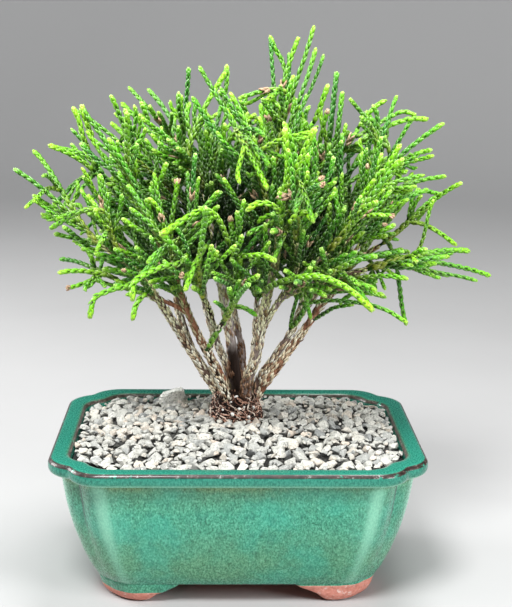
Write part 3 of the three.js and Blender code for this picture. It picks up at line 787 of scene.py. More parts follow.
class Shader:
    """A Principled material whose colour, roughness and relief come from nodes"""

    def __init__(self, name):
        self.material = bpy.data.materials.new(name)
        self.material.use_nodes = True
        self.nodes = self.material.node_tree.nodes
        self.links = self.material.node_tree.links
        self.surface = self.nodes["Principled BSDF"]
        self.place = self.nodes.new("ShaderNodeTexCoord").outputs["Object"]

    def feed(self, node, sources, output=0):
        """Links or sets inputs of a node, by name or place, and gives one of its outputs"""
        for name, source in sources.items():
            socket = node.inputs[name]
            if isinstance(source, bpy.types.NodeSocket):
                self.links.new(source, socket)
            elif isinstance(source, tuple):
                socket.default_value = (*source, 1)[:len(socket.default_value)]
            else:
                socket.default_value = source
        return node.outputs[output]

    def value(self, name):
        """Value per point of the mesh"""
        node = self.nodes.new("ShaderNodeAttribute")
        node.attribute_name = name
        return node.outputs["Fac"]

    def noise(self, scale, detail=4, roughness=0.6, stretch=None, distortion=0):
        place = self.place
        if stretch:
            place = self.feed(self.nodes.new("ShaderNodeMapping"), {"Vector": place, "Scale": stretch})
        return self.feed(self.nodes.new("ShaderNodeTexNoise"), {
            "Vector": place, "Scale": scale, "Detail": detail, "Roughness": roughness,
            "Distortion": distortion,
        }, "Fac")

    def math(self, operation, a, b):
        node = self.nodes.new("ShaderNodeMath")
        node.operation = operation
        return self.feed(node, {0: a, 1: b})

    def between(self, source, low, high, bottom=0.0, top=1.0):
        """Source from low to high, brought smoothly to the range from bottom to top"""
        node = self.nodes.new("ShaderNodeMapRange")
        node.interpolation_type = "SMOOTHSTEP"
        return self.feed(node, dict(enumerate((source, low, high, bottom, top))))

    def blend(self, share, low, high):
        """Colour from low to high: places 6 and 7 are a mix node's colours, and 2 what it gives"""
        node = self.nodes.new("ShaderNodeMix")
        node.data_type = "RGBA"
        return self.feed(node, {0: share, 6: low, 7: high}, 2)

    def ramp(self, source, *stops):
        """Colour at each place from 0 to 1 of a source, from stops of place, red, green and blue"""
        node = self.nodes.new("ShaderNodeValToRGB")
        elements = node.color_ramp.elements
        while len(elements) < len(stops):
            elements.new(0.5)
        for element, (place, *colour) in zip(elements, stops):
            element.position = place
            element.color = (*colour, 1)
        return self.feed(node, {"Fac": source}, "Color")

    def relief(self, height, depth, strength):
        bump = self.nodes.new("ShaderNodeBump")
        normal = self.feed(bump, {"Strength": strength, "Distance": depth * MILLIMETRE, "Height": height})
        self.feed(self.surface, {"Normal": normal})

    def grain_roughness(self, grain, smooth, rough):
        """Roughness that follows a grain"""
        return self.between(grain, 0.3, 0.7, smooth, rough)

    def finish(self, colour, roughness, **constants):
        """The material, with any constants of its surface as its inputs are called"""
        self.feed(self.surface, {"Base Color": colour, "Roughness": roughness})
        for name, value in constants.items():
            self.surface.inputs[name.replace("_", " ")].default_value = value
        return self.material


def glaze_material():
    s = Shader("green_glaze")
    worn, thin, deep, ridge = (s.value(name) for name in ("worn", "thin", "deep", "ridge"))
    grain = s.noise(1050, 4, 0.75, stretch=(1, 1, 0.6))
    streaks = s.noise(330, 4, 0.65, stretch=(1, 1, 0.4))
    clouds = s.noise(26, 4, 0.6)
    body = s.ramp(
        grain, (0.34, 0.009, 0.094, 0.054), (0.46, 0.032, 0.238, 0.146), (0.56, 0.063, 0.34, 0.218),
        (0.7, 0.178, 0.535, 0.374),
    )
    body = s.blend(s.between(streaks, 0.5, 0.36, 0, 0.5), body, (0.006, 0.12, 0.082))
    body = s.blend(s.between(clouds, 0.48, 0.66, 0, 0.3), body, (0.03, 0.4, 0.3))
    olive = s.ramp(grain, (0.34, 0.046, 0.09, 0.03), (0.48, 0.118, 0.245, 0.104), (0.68, 0.27, 0.43, 0.22))
    # Olive where the glaze is thin; under the lip it is also painted shade
    body = s.blend(s.math("MULTIPLY", thin, s.between(clouds, 0.62, 0.38, 0.35, 1)), body, olive)
    pooled = s.ramp(
        grain, (0.34, 0.006, 0.1, 0.07), (0.5, 0.016, 0.172, 0.12), (0.72, 0.038, 0.255, 0.185),
    )
    body = s.blend(deep, body, pooled)
    mint = s.blend(grain, (0.14, 0.48, 0.32), (0.35, 0.67, 0.5))
    # Pale mint on the corner ridges, and as a painted highlight on the lip's lower edge
    body = s.blend(s.between(ridge, 0.0, 1.0, 0, 0.75), body, mint)
    plum = s.blend(s.between(streaks, 0.4, 0.6), (0.02, 0.03, 0.036), (0.07, 0.11, 0.105))
    body = s.blend(s.between(ridge, -0.2, -1.0, 0, 0.85), body, plum)
    chips = s.noise(420, 5, 0.75)
    rust = s.ramp(
        chips, (0.36, 0.004, 0.002, 0.003), (0.5, 0.02, 0.008, 0.006), (0.6, 0.06, 0.032, 0.027),
        (0.68, 0.3, 0.36, 0.35),
    )
    ash = s.ramp(chips, (0.34, 0.016, 0.011, 0.008), (0.52, 0.06, 0.044, 0.034), (0.68, 0.2, 0.18, 0.155))
    edge = s.blend(thin, rust, ash)
    breaks = s.math("MULTIPLY", s.between(worn, 0.2, 0.75), s.between(s.noise(190, 3), 0.30, 0.40))
    colour = s.blend(breaks, body, edge)
    flecks = s.math("MULTIPLY", s.between(s.noise(1500, 2, 0.6), 0.66, 0.72), s.math("SUBTRACT", 1, deep))
    colour = s.blend(s.math("MULTIPLY", flecks, 0.6), colour, (0.3, 0.66, 0.54))
    s.relief(s.noise(260, 3, 0.5), 0.12, 0.3)
    roughness = s.math("ADD", s.grain_roughness(grain, 0.20, 0.34), s.math("MULTIPLY", breaks, 0.2))
    return s.finish(colour, roughness, Coat_Weight=0.25, Coat_Roughness=0.06, Specular_IOR_Level=0.35)


def clay_material():
    s = Shader("bare_clay")
    grain = s.noise(500, 5, 0.7)
    colour = s.ramp(grain, (0.3, 0.43, 0.14, 0.1), (0.5, 0.6, 0.225, 0.17), (0.7, 0.74, 0.35, 0.28))
    scuffs = s.between(s.noise(150, 6, 0.7, distortion=2.5), 0.56, 0.64, 0, 0.75)
    colour = s.blend(scuffs, colour, (0.78, 0.64, 0.58))
    s.relief(grain, 0.25, 0.6)
    return s.finish(colour, s.grain_roughness(grain, 0.75, 0.95))


def stone_material():
    s = Shader("gravel_stone")
    tint, low = s.value("tint"), s.value("low")
    # The last stop, which only the boulder takes, is near white: its pale rock, and painted light that makes
    # up for the crown's shadow on it
    colour = s.ramp(
        tint, (0, 0.15, 0.158, 0.16), (0.1, 0.33, 0.338, 0.325), (0.33, 0.43, 0.43, 0.4),
        (0.71, 0.52, 0.515, 0.47), (0.85, 0.56, 0.525, 0.46), (0.95, 0.55, 0.47, 0.39),
        (1, 0.95, 0.945, 0.9),
    )
    grain = s.noise(700, 6, 0.75)
    veins = s.noise(260, 5, 0.7, distortion=2)
    colour = s.blend(s.between(grain, 0.47, 0.34, 0, 0.85), colour, (0.095, 0.093, 0.086))
    colour = s.blend(s.between(veins, 0.54, 0.68, 0, 0.45), colour, (0.86, 0.85, 0.81))
    colour = s.blend(s.between(veins, 0.47, 0.38, 0, 0.6), colour, (0.19, 0.19, 0.178))
    # Painted shade: stones low in the bed and the slab under them darkened almost to black
    colour = s.blend(low, colour, (0.012, 0.011, 0.01))
    s.relief(s.math("ADD", grain, s.noise(220, 3)), 0.5, 0.9)
    return s.finish(colour, s.grain_roughness(grain, 0.82, 0.96), Specular_IOR_Level=0.2)


def soil_material():
    s = Shader("soil_mix")
    grain = s.noise(380, 6, 0.75)
    colour = s.ramp(
        grain, (0.3, 0.01, 0.007, 0.005), (0.55, 0.045, 0.028, 0.018), (0.75, 0.13, 0.09, 0.06),
    )
    s.relief(grain, 0.9, 1)
    return s.finish(colour, s.grain_roughness(grain, 0.9, 1.0))


def screen_material():
    s = Shader("screen_plastic")
    grain = s.noise(600, 4)
    colour = s.blend(grain, (0.01, 0.012, 0.012), (0.035, 0.038, 0.038))
    s.relief(grain, 0.05, 0.4)
    return s.finish(colour, s.grain_roughness(grain, 0.5, 0.65))


def bark_material():
    s = Shader("fibrous_bark")
    grey, red, dark = (s.value(name) for name in ("grey", "red", "dark"))
    fibres = s.noise(520, 6, 0.75, stretch=(1, 1, 0.16), distortion=0.6)
    brown = s.ramp(fibres, (0.3, 0.006, 0.004, 0.002), (0.5, 0.024, 0.014, 0.008), (0.7, 0.1, 0.065, 0.04))
    silver = s.ramp(fibres, (0.34, 0.09, 0.062, 0.056), (0.5, 0.52, 0.44, 0.42), (0.64, 0.86, 0.82, 0.79))
    rusty = s.ramp(fibres, (0.3, 0.06, 0.022, 0.012), (0.5, 0.29, 0.125, 0.07), (0.7, 0.62, 0.36, 0.23))
    colour = s.blend(red, brown, rusty)
    colour = s.blend(grey, colour, silver)
    # Painted shade, near black: the root crown's body between the roots and the feet of the stems
    colour = s.blend(dark, colour, s.blend(fibres, (0.003, 0.002, 0.001), (0.03, 0.014, 0.009)))
    s.relief(fibres, 0.5, 0.9)
    return s.finish(colour, s.grain_roughness(fibres, 0.75, 0.95), Specular_IOR_Level=0.15)


def flake_material():
    s = Shader("dried_scales")
    tone, fresh, rim = s.value("tone"), s.value("fresh"), s.value("rim")
    grain = s.noise(900, 4, 0.7)
    colour = s.ramp(
        tone, (0, 0.09, 0.038, 0.02), (0.12, 0.34, 0.195, 0.12), (0.3, 0.68, 0.56, 0.38),
        (0.6, 0.88, 0.81, 0.62), (1, 0.94, 0.92, 0.82),
    )
    green = s.ramp(tone, (0, 0.11, 0.2, 0.02), (0.5, 0.3, 0.4, 0.07), (1, 0.56, 0.6, 0.24))
    colour = s.blend(fresh, colour, green)
    colour = s.blend(s.between(grain, 0.5, 0.3, 0, 0.5), colour, (0.09, 0.055, 0.03))
    # Painted shade in the gaps at the roots of the dried scales
    colour = s.blend(s.between(rim, 0.0, 0.3, 0.85, 0.0), colour, (0.014, 0.009, 0.005))
    s.relief(grain, 0.15, 0.6)
    return s.finish(colour, s.grain_roughness(grain, 0.7, 0.9), Specular_IOR_Level=0.2)


def root_material():
    s = Shader("fine_roots")
    tone = s.value("tone")
    grain = s.noise(700, 5, 0.7)
    colour = s.ramp(
        tone, (0, 0.005, 0.003, 0.002), (0.36, 0.024, 0.012, 0.009), (0.55, 0.24, 0.104, 0.072),
        (0.76, 0.62, 0.36, 0.26), (1, 0.9, 0.79, 0.67),
    )
    colour = s.blend(s.between(grain, 0.5, 0.3, 0, 0.6), colour, (0.02, 0.011, 0.008))
    s.relief(grain, 0.2, 0.7)
    return s.finish(colour, s.grain_roughness(grain, 0.65, 0.85), Specular_IOR_Level=0.2)


def perlite_material():
    s = Shader("perlite")
    grain = s.noise(900, 4, 0.7)
    colour = s.blend(grain, (0.62, 0.6, 0.57), (0.86, 0.85, 0.83))
    s.relief(grain, 0.2, 0.6)
    return s.finish(colour, s.grain_roughness(grain, 0.7, 0.9))


def leaf_material():
    s = Shader("scale_leaves")
    young, rim, tone, aged, shade = (s.value(name) for name in ("young", "rim", "tone", "aged", "shade"))
    grain = s.noise(800, 3, 0.6)
    old = s.blend(tone, (0.024, 0.17, 0.008), (0.11, 0.34, 0.01))
    fresh = s.blend(tone, (0.075, 0.35, 0.006), (0.2, 0.51, 0.006))
    colour = s.blend(s.between(young, 0.0, 0.9), old, fresh)
    colour = s.blend(s.between(young, 0.80, 1.0, 0, 0.65), colour, (0.3, 0.56, 0.01))
    colour = s.blend(s.between(young, 0.92, 1.0, 0, 0.3), colour, (0.56, 0.74, 0.12))
    yellow = s.blend(tone, (0.14, 0.22, 0.014), (0.43, 0.45, 0.045))
    colour = s.blend(s.math("MULTIPLY", aged, 0.85), colour, yellow)
    # Pale leaf margins, laid on below: partly the leaves' own pale bloom and partly a painted highlight
    pale = s.blend(young, (0.42, 0.68, 0.32), (0.52, 0.76, 0.2))
    pale = s.blend(s.math("MULTIPLY", aged, 0.8), pale, (0.7, 0.7, 0.3))
    # Painted shade in the gaps at the roots of the leaves
    colour = s.blend(s.between(rim, 0.0, 0.3, 0.7, 0.0), colour, (0.002, 0.024, 0.001))
    colour = s.blend(s.between(rim, 0.45, 0.95, 0, 0.72), colour, pale)
    colour = s.blend(s.between(grain, 0.45, 0.25, 0, 0.4), colour, (0.004, 0.03, 0.002))
    # Painted shade: leaves deep inside the crown darkened almost to black
    colour = s.blend(s.math("MULTIPLY", shade, 0.9), colour, (0.002, 0.009, 0.001))
    s.relief(grain, 0.08, 0.5)
    return s.finish(colour, s.grain_roughness(grain, 0.32, 0.45), Specular_IOR_Level=0.34)


def bud_material():
    s = Shader("dry_buds")
    rim = s.value("rim")
    grain = s.noise(900, 4, 0.7)
    colour = s.ramp(grain, (0.3, 0.17, 0.08, 0.04), (0.5, 0.42, 0.27, 0.16), (0.7, 0.7, 0.58, 0.42))
    # Painted shade in the gaps at the roots of the dry scales
    colour = s.blend(s.between(rim, 0.0, 0.5, 0.7, 0.0), colour, (0.06, 0.03, 0.015))
    s.relief(grain, 0.15, 0.6)
    return s.finish(colour, s.grain_roughness(grain, 0.6, 0.8))


def floor_material():
    s = Shader("pale_floor")
    far, high = s.value("far"), s.value("high")
    grain = s.noise(6, 3)
    near = s.blend(grain, (0.34, 0.34, 0.34), (0.365, 0.365, 0.365))
    colour = s.blend(far, near, (0.78, 0.78, 0.78))
    colour = s.blend(high, colour, (0.1, 0.105, 0.11))
    return s.finish(colour, s.grain_roughness(grain, 0.78, 0.84))


# Pot

def corner_plan(half_x, half_y, height):
    """Half of the plan's outline round one corner: two round lobes, and a valley that fades down"""
    reach = CORNER_REACH * (half_x / (POT_LENGTH / 2))
    lobe_turn = np.interp(-height, VALLEY_FADE, (LOBE_TURN, FADED_TURN))
    lobe = reach / (1 - math.cos(lobe_turn) + math.sin(lobe_turn))
    corner = []
    ridge = []
    for i in range(LOBE_STEPS + 1):
        turn = lobe_turn * i / LOBE_STEPS
        corner.append((half_x - lobe * (1 - math.cos(turn)), half_y - reach + lobe * math.sin(turn)))
        ridge.append(i / LOBE_STEPS)
    for i in range(1, LOBE_STEPS + 1):
        turn = math.pi / 2 - lobe_turn * (1 - i / LOBE_STEPS)
        corner.append((half_x - reach + lobe * math.cos(turn), half_y - lobe * (1 - math.sin(turn))))
        ridge.append(1 - i / LOBE_STEPS)
    corner = np.array(corner)
    for _ in range(2):
        inner = corner[LOBE_STEPS - 2:LOBE_STEPS + 3]
        corner[LOBE_STEPS - 1:LOBE_STEPS + 2] = (inner[:-2] + 2 * inner[1:-1] + inner[2:]) / 4
    return corner, np.array(ridge)


def pot_ring(height, inset):
    """One level of the pot's plan, and how near each point is to a corner's ridges"""
    half_x = POT_LENGTH / 2 - inset
    half_y = POT_DEPTH / 2 - inset
    corner, lobe = corner_plan(half_x, half_y, height)
    mirrored = corner[::-1]
    corners = [corner, mirrored * (-1, 1), corner * (-1, -1), mirrored * (1, -1)]
    ridge = np.exp(-((lobe - RIDGE["place"]) / RIDGE["width"]) ** 2)
    ridge = np.where(lobe > RIDGE["valley"], -1, ridge)
    points = []
    ridges = []
    for i, arc in enumerate(corners):
        onward = corners[(i + 1) % 4][0]
        points.extend(arc)
        ridges.extend(ridge)
        for k in range(1, SIDE_STEPS):
            points.append(mix(arc[-1], onward, k / SIDE_STEPS))
            ridges.append(0)
    points = np.array(points)
    return np.column_stack([points, np.full(len(points), height)]), np.array(ridges)


def rounded(profile):
    """A profile with each of its inner corners turned in three short steps"""
    result = [profile[0]]
    for before, corner, after in zip(profile, profile[1:], profile[2:]):
        back = corner - before
        on = after - corner
        cut_back = min(EDGE_ROUNDING / math.hypot(back[0], back[1]), 0.4)
        cut_on = min(EDGE_ROUNDING / math.hypot(on[0], on[1]), 0.4)
        start = corner - back * cut_back
        end = corner + on * cut_on
        result += [start, bezier((start, corner, end), 0.5), end]
    result.append(profile[-1])
    return np.array(result)


def waved(points):
    """Hand-formed walls: a slow wave of a fraction of a millimetre, none on the lip or floor"""
    moved = points.copy()
    for i, (x, y, z) in enumerate(points):
        amount = WALL_WAVE["height"] * min(max((-z - WALL_WAVE["below"]) / WALL_WAVE["fade"], 0), 1)
        shift = noise.noise(Vector((x, y, z)) * WALL_WAVE["pitch"]) * amount
        outward = unit(vector((x / POT_LENGTH, y / POT_DEPTH, 0.001)))
        moved[i] += outward * shift
    return moved


def pot_body(form):
    """Walls and lip. A ridge value is minus one in a corner's valley and one on its ridges."""
    profile = rounded(WALL)
    rings = []
    ridges = []
    for height, inset in profile[:, :2]:
        ring, ridge = pot_ring(height, inset)
        rings.append(waved(ring))
        crest, valley, lip_highlight = (
            np.interp(-height, *tint) for tint in (RIDGE_TINT, VALLEY_TINT, LIP_EDGE_HIGHLIGHT))
        # The lip's lower edge takes the ridges' pale mint as a painted highlight
        ridges.append(np.where(ridge < 0, -valley, np.maximum(ridge * crest, lip_highlight)))
    size = len(rings[0])
    values = {name: np.repeat(profile[:, 2 + i], size) for i, name in enumerate(("worn", "thin", "deep"))}
    form.add(np.vstack(rings), stack_faces(len(rings), size), ridge=np.concatenate(ridges), **values)


def drain_walls(form):
    angles = 2 * np.pi * np.arange(DRAIN_SIDES) / DRAIN_SIDES
    for x in (-DRAIN_OFFSET, DRAIN_OFFSET):
        ring = np.column_stack([x + DRAIN_RADIUS * np.cos(angles), DRAIN_RADIUS * np.sin(angles), 0 * angles])
        rings = [ring + (0, 0, height) for height in (CAVITY_FLOOR, BODY_BOTTOM)]
        form.add(np.vstack(rings), stack_faces(2, DRAIN_SIDES), slot=1, deep=0.5)


def close_floor(piece, level, drains):
    """Fills the flat face at a level, between its outline and the drain holes"""
    mesh = bmesh.new()
    mesh.from_mesh(piece.data)
    height = level * MILLIMETRE + ORIGIN[2]
    edges = [edge for edge in mesh.edges
             if edge.is_boundary and all(abs(v.co.z - height) < 1e-5 for v in edge.verts)]
    made = bmesh.ops.triangle_fill(mesh, edges=edges, use_beauty=True, use_dissolve=False)
    for face in made["geom"]:
        if isinstance(face, bmesh.types.BMFace):
            face.material_index = drains
            face.smooth = False
    bmesh.ops.recalc_face_normals(mesh, faces=mesh.faces)
    mesh.to_mesh(piece.data)
    mesh.free()


def foot_ring(height, inset, inner_x, inner_y):
    """Plan of one foot: the pot's own corner outside, and a rounded square corner inside"""
    half_x = POT_LENGTH / 2 - inset
    half_y = POT_DEPTH / 2 - inset
    corner, _ = corner_plan(half_x, half_y, height)
    near_x = inner_x + FOOT_ROUNDING
    near_y = inner_y + FOOT_ROUNDING
    outline = [(half_x, near_y), (half_x, mix(near_y, corner[0][1], 0.5))]
    outline += [tuple(point) for point in corner]
    outline += [(mix(near_x, corner[-1][0], 0.5), half_y), (near_x, half_y)]
    middles = ((near_x, half_y - FOOT_ROUNDING), (near_x, near_y), (half_x - FOOT_ROUNDING, near_y))
    for quarter, (x, y) in enumerate(middles, 1):
        for k in range(1, FOOT_TURN_STEPS + 1):
            angle = quarter * math.pi / 2 + math.pi / 2 * k / FOOT_TURN_STEPS
            outline.append((x + FOOT_ROUNDING * math.cos(angle), y + FOOT_ROUNDING * math.sin(angle)))
    return np.array([(x, y, height) for x, y in outline])


def feet(form):
    """Four feet, glazed down to a wavy line and bare clay below it"""
    rings = [foot_ring(*level) for level in FOOT]
    size = len(rings[0])
    for sign_x in (-1, 1):
        for sign_y in (-1, 1):
            flip = sign_x * sign_y < 0
            placed = [ring * (sign_x, sign_y, 1) for ring in rings]
            line = CLAY_LINE[sign_x]
            for point in placed[line]:
                point[2] += CLAY_SHIFT[sign_x] + CLAY_WAVE * noise.noise(Vector(point) * CLAY_WAVE_PITCH)
            for slot, levels in enumerate((placed[:line + 1], placed[line:])):
                faces = stack_faces(len(levels), size)
                end = len(faces) if slot else 0
                faces.append(tuple(reversed(range(end, end + size))))
                if not flip:
                    faces = [tuple(reversed(face)) for face in faces]
                form.add(np.vstack(levels), faces, slot=slot, thin=0.15)


def make_pot():
    form = Form("worn", "thin", "deep", "ridge")
    pot_body(form)
    drain_walls(form)
    feet(form)
    piece = form.build("glazed_pot", [glaze_material(), clay_material()])
    mesh = bmesh.new()
    mesh.from_mesh(piece.data)
    bmesh.ops.remove_doubles(mesh, verts=mesh.verts, dist=1e-6)
    mesh.to_mesh(piece.data)
    mesh.free()
    close_floor(piece, CAVITY_FLOOR, 0)
    close_floor(piece, BODY_BOTTOM, 1)
    piece.data.set_sharp_from_angle(angle=SHARP_FROM)
    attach(piece, "root")
    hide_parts("pot")


# Gravel

def gravel_level(x, y):
    slope_x = max(1 - (x / (POT_LENGTH / 2)) ** 2, 0)
    slope_y = max(1 - (y / (POT_DEPTH / 2)) ** 2, 0)
    return GRAVEL_EDGE_LEVEL + GRAVEL_MOUND * slope_x * slope_y


def in_bed(x, y, margin):
    """Whether a stone of a radius fits between the walls of the pot and beside the roots"""
    room_x = POT_LENGTH / 2 - LIP_INNER_EDGE - BED_MARGIN - abs(x)
    room_y = POT_DEPTH / 2 - LIP_INNER_EDGE - BED_MARGIN - abs(y)
    if min(room_x, room_y) < margin:
        return False
    if room_x + room_y < CORNER_ROOM[0] * CORNER_REACH + CORNER_ROOM[1] * margin:
        return False
    return math.hypot(x - ROOT["x"], y - ROOT["y"]) > ROOT_ROOM[0] + ROOT_ROOM[1] * margin


def stone_kind(random, corners, edge):
    """An angular stone of unit size: the hull of scattered points, with its edges broken"""
    mesh = bmesh.new()
    for _ in range(corners):
        z = 2 * random() - 1
        turn = 2 * math.pi * random()
        level = math.sqrt(1 - z * z)
        reach = drawn(random, 0.8, 0.28)
        mesh.verts.new((reach * level * math.cos(turn), reach * level * math.sin(turn), reach * z))
    hull = bmesh.ops.convex_hull(mesh, input=mesh.verts)
    bmesh.ops.delete(mesh, geom=[g for g in hull["geom_interior"] if isinstance(g, bmesh.types.BMVert)],
                     context="VERTS")
    if edge:
        bmesh.ops.dissolve_limit(mesh, angle_limit=FLAT_BELOW, verts=mesh.verts, edges=mesh.edges)
        bmesh.ops.bevel(mesh, geom=mesh.edges, offset=edge, segments=1, affect="EDGES", clamp_overlap=True)
    bmesh.ops.triangulate(mesh, faces=mesh.faces)
    bmesh.ops.recalc_face_normals(mesh, faces=mesh.faces)
    points = np.array([v.co[:] for v in mesh.verts])
    faces = [tuple(v.index for v in face.verts) for face in mesh.faces]
    mesh.free()
    return points, faces


def turned(random):
    """A rotation that is as likely as any other"""
    turn, tilt, spin = (2 * math.pi * random() for _ in range(3))
    matrix = Matrix.Rotation(turn, 3, "Z") @ Matrix.Rotation(math.acos(math.cos(tilt)), 3, "X")
    return np.array(matrix @ Matrix.Rotation(spin, 3, "Z"))


def stone_places(random):
    """Places and radii of the stones in the top of the bed, the large ones first"""
    places = np.zeros((sum(tries for _, tries in STONE_SIZES), 3))
    count = 0
    boulder_x, boulder_y, _ = BOULDER["middle"]
    room_x, room_y = BOULDER["room"]
    for radius, tries in STONE_SIZES:
        for _ in range(tries):
            x = (random() - 0.5) * POT_LENGTH
            y = (random() - 0.5) * POT_DEPTH
            size = radius * drawn(random, *STONE_SCATTER)
            if not in_bed(x, y, 0.85 * size):
                continue
            if math.hypot((x - boulder_x) / room_x, (y - boulder_y) / room_y) < 1:
                continue
            taken = places[:count]
            gaps = np.hypot(taken[:, 0] - x, taken[:, 1] - y)
            if (gaps < STONE_SPACING * (taken[:, 2] + size)).any():
                continue
            places[count] = (x, y, size)
            count += 1
    return places[:count]


def add_stone(form, kind, middle, reach, turning, tint, low=0.0):
    points, faces = kind
    placed = (points * reach) @ turning.T + middle
    form.add(placed, faces, tint=tint, low=low)


def add_boulder(form):
    """The one large stone: slabs of layered rock with a flat top and a steep right end"""
    corners = np.vstack([BOULDER["outline"], BOULDER["outline"][:1]])
    places = np.arange(BOULDER["steps"] * len(BOULDER["outline"])) / BOULDER["steps"]
    outline = np.column_stack([np.interp(places, np.arange(len(corners)), side) for side in corners.T])
    spin = BOULDER["turn"]
    rings = []
    for i, (height, size, shift) in enumerate(BOULDER["layers"]):
        for k, (x, y) in enumerate(outline):
            chip = 1 + 0.14 * rough_at(0.5 * k, 0.9 * i, 3.1) + 0.1 * rough_at(2.3 * k, 2.1 * i, 5.3)
            across = x * size * chip + shift
            deep = y * size * chip
            tip = BOULDER["tip"] * across + rough_at(0.4 * k, 0.7 * i, 7.7)
            tip += 0.5 * rough_at(2.9 * k, 1.9 * i, 9.1)
            rings.append((
                across * math.cos(spin) - deep * math.sin(spin),
                across * math.sin(spin) + deep * math.cos(spin),
                height + tip,
            ))
    faces = capped_faces(len(BOULDER["layers"]), len(outline))
    # Near-white tint: pale rock, and painted light against the crown's shadow
    form.add(np.array(rings) + BOULDER["middle"], faces, tint=1.0)


def make_gravel():
    random = seeded(BED_SEED)
    form = Form("tint", "low")
    kinds = [stone_kind(random, 11 + int(6 * random()), STONE_EDGE) for _ in range(STONE_KINDS)]
    rough = [stone_kind(random, 10, 0) for _ in range(STONE_KINDS // 2)]
    for x, y, size in stone_places(random):
        kind = kinds[int(len(kinds) * random())]
        stretch = vector([drawn(random, *side) for side in STONE_STRETCH])
        tilt = Matrix.Rotation(2 * math.pi * random(), 3, "Z")
        for axis in "XY":
            tilt = tilt @ Matrix.Rotation(STONE_LEAN * (random() - 0.5), 3, axis)
        level = gravel_level(x, y) - STONE_SINK * size + STONE_TOSS * (random() - 0.5) + STONE_LIFT
        tint = 0.95 * random() ** 0.8
        add_stone(form, kind, vector((x, y, level)), size * stretch, np.array(tilt), tint)
    columns = int(POT_LENGTH / UNDER_PITCH)
    rows = int(POT_DEPTH / UNDER_PITCH)
    for i in range(columns + 1):
        for j in range(rows + 1):
            x = (i - columns / 2 + UNDER_TOSS * (random() - 0.5)) * UNDER_PITCH
            y = (j - rows / 2 + UNDER_TOSS * (random() - 0.5)) * UNDER_PITCH
            kind = rough[int(len(rough) * random())]
            size = drawn(random, *UNDER_SIZES)
            turning = turned(random)
            tint = 0.4 * random()
            if in_bed(x, y, size):
                middle = vector((x, y, drawn(random, gravel_level(x, y) - UNDER_SINK, 1.2)))
                # Painted shade on the stones below, with darker tints
                add_stone(form, kind, middle, vector((size, 0.85 * size, 0.8 * size)), turning, tint, 0.88)
    add_boulder(form)
    shade_slab(form)
    piece = form.build("gravel_bed", [stone_material()], smooth=False)
    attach(piece, "root")
    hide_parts("gravel")


def shade_slab(form):
    """A closed slab under the stones, darkened almost to black as painted shade in the gaps between them"""
    rings = [pot_ring(height, inset)[0] for height, inset in SHADE_SLAB]
    form.add(np.vstack(rings), capped_faces(len(rings), len(rings[0])), tint=0.0, low=0.9)


# Root crown, roots and stems

def smooth_path(twig):
    """Stem or twig as a fine path, with the radius at each point"""
    points = []
    radii = []
    stem = twig["stem"]
    if twig["order"] == 0:
        for i in range(STEM_FINE_STEPS):
            share = i / STEM_FINE_STEPS
            points.append(catmull_rom(stem["points"], share))
            radii.append(stem_radius(stem["looks"], share))
    for i in range(TWIG_FINE_STEPS + 1):
        points.append(bezier(twig["bend"], i / TWIG_FINE_STEPS))
        radii.append(mix(twig["thickness"], TWIG_TIP_RADIUS, i / TWIG_FINE_STEPS))
    return np.array(points), np.array(radii)


def crown_body(form):
    """Swollen foot of the tree, with the ridges of its roots"""
    rings = []
    for height, radius in CROWN_PROFILE:
        for k in range(CROWN_SIDES):
            angle = 2 * math.pi * k / CROWN_SIDES
            x, y = math.cos(angle), math.sin(angle)
            rough = 1 + 0.18 * rough_at(x * 2.6, y * 2.6, height * 0.11)
            rough += 0.1 * rough_at(x * 8, y * 8, height * 0.25)
            reach = radius * (rough if height > SOIL_LEVEL else 0.97)
            rings.append((ROOT["x"] + reach * x, ROOT["y"] + reach * y, height))
    # Painted shade: the crown's body, seen between the roots, near black
    form.add(rings, capped_faces(len(CROWN_PROFILE), CROWN_SIDES), grey=0.0, red=0.4, dark=0.95)


def stem_tubes(form, twigs, random):
    """Barked stems and twigs whose sides are ribbed lengthwise"""
    for twig in twigs:
        path, radii = smooth_path(twig)
        sides = TWIG_SIDES if twig["order"] else STEM_SIDES
        phase = [10 * random() for _ in range(2)]
        ridges = np.ones((len(path), sides))
        for i in range(len(path)):
            for k in range(sides):
                angle = 2 * math.pi * k / sides
                ridges[i][k] = 0.98 + 0.24 * rough_at(
                    math.cos(angle) * 1.7 + phase[0], math.sin(angle) * 1.7 + phase[1], i * 0.12)
        looks = twig["stem"]["looks"]
        if path[0][2] < SINK_BELOW:
            path, radii = sunk(path, radii)
            ridges = np.vstack([ridges[:1], ridges[:1], ridges])
        # Painted shade at the stem's foot
        dark = np.interp(path[:, 2], GREY_FOOT if looks["grey"] == 1 else BROWN_FOOT, FOOT_DARKNESS)
        tube(form, path, radii * 0.93, sides, ridges=ridges, grey=looks["grey"], red=looks["red"], dark=dark)


def sunk(path, radii):
    """Carries the foot of a stem down and in, below the top of the root crown"""
    middle = vector((ROOT["x"], ROOT["y"], 0))
    foot = mix(path[0], middle, SUNK_SHARE)
    foot[2] = 0
    between = mix(path[0], foot, 0.4)
    between[2] = SUNK_BEND
    return np.vstack([foot, between, path]), np.concatenate([radii[:1], radii[:1], radii])


# Scale leaf, closed: its rings from root to tip with half width, rise and thickness, and the
# places across and above of its edges and keel, with how pale each is
LEAF_RINGS = ((0.0, 0.66, 0.0, 0.75), (0.36, 1.0, 0.52, 1.0), (0.74, 0.60, 0.90, 0.72))
FLAKE_RINGS = ((0.0, 0.8, 0.0, 0.9), (0.5, 1.0, 0.7, 1.0))
LEAF_SECTION = ((-1, -0.4, 1.0), (0, 1.0, 0.0), (1, -0.4, 1.0))


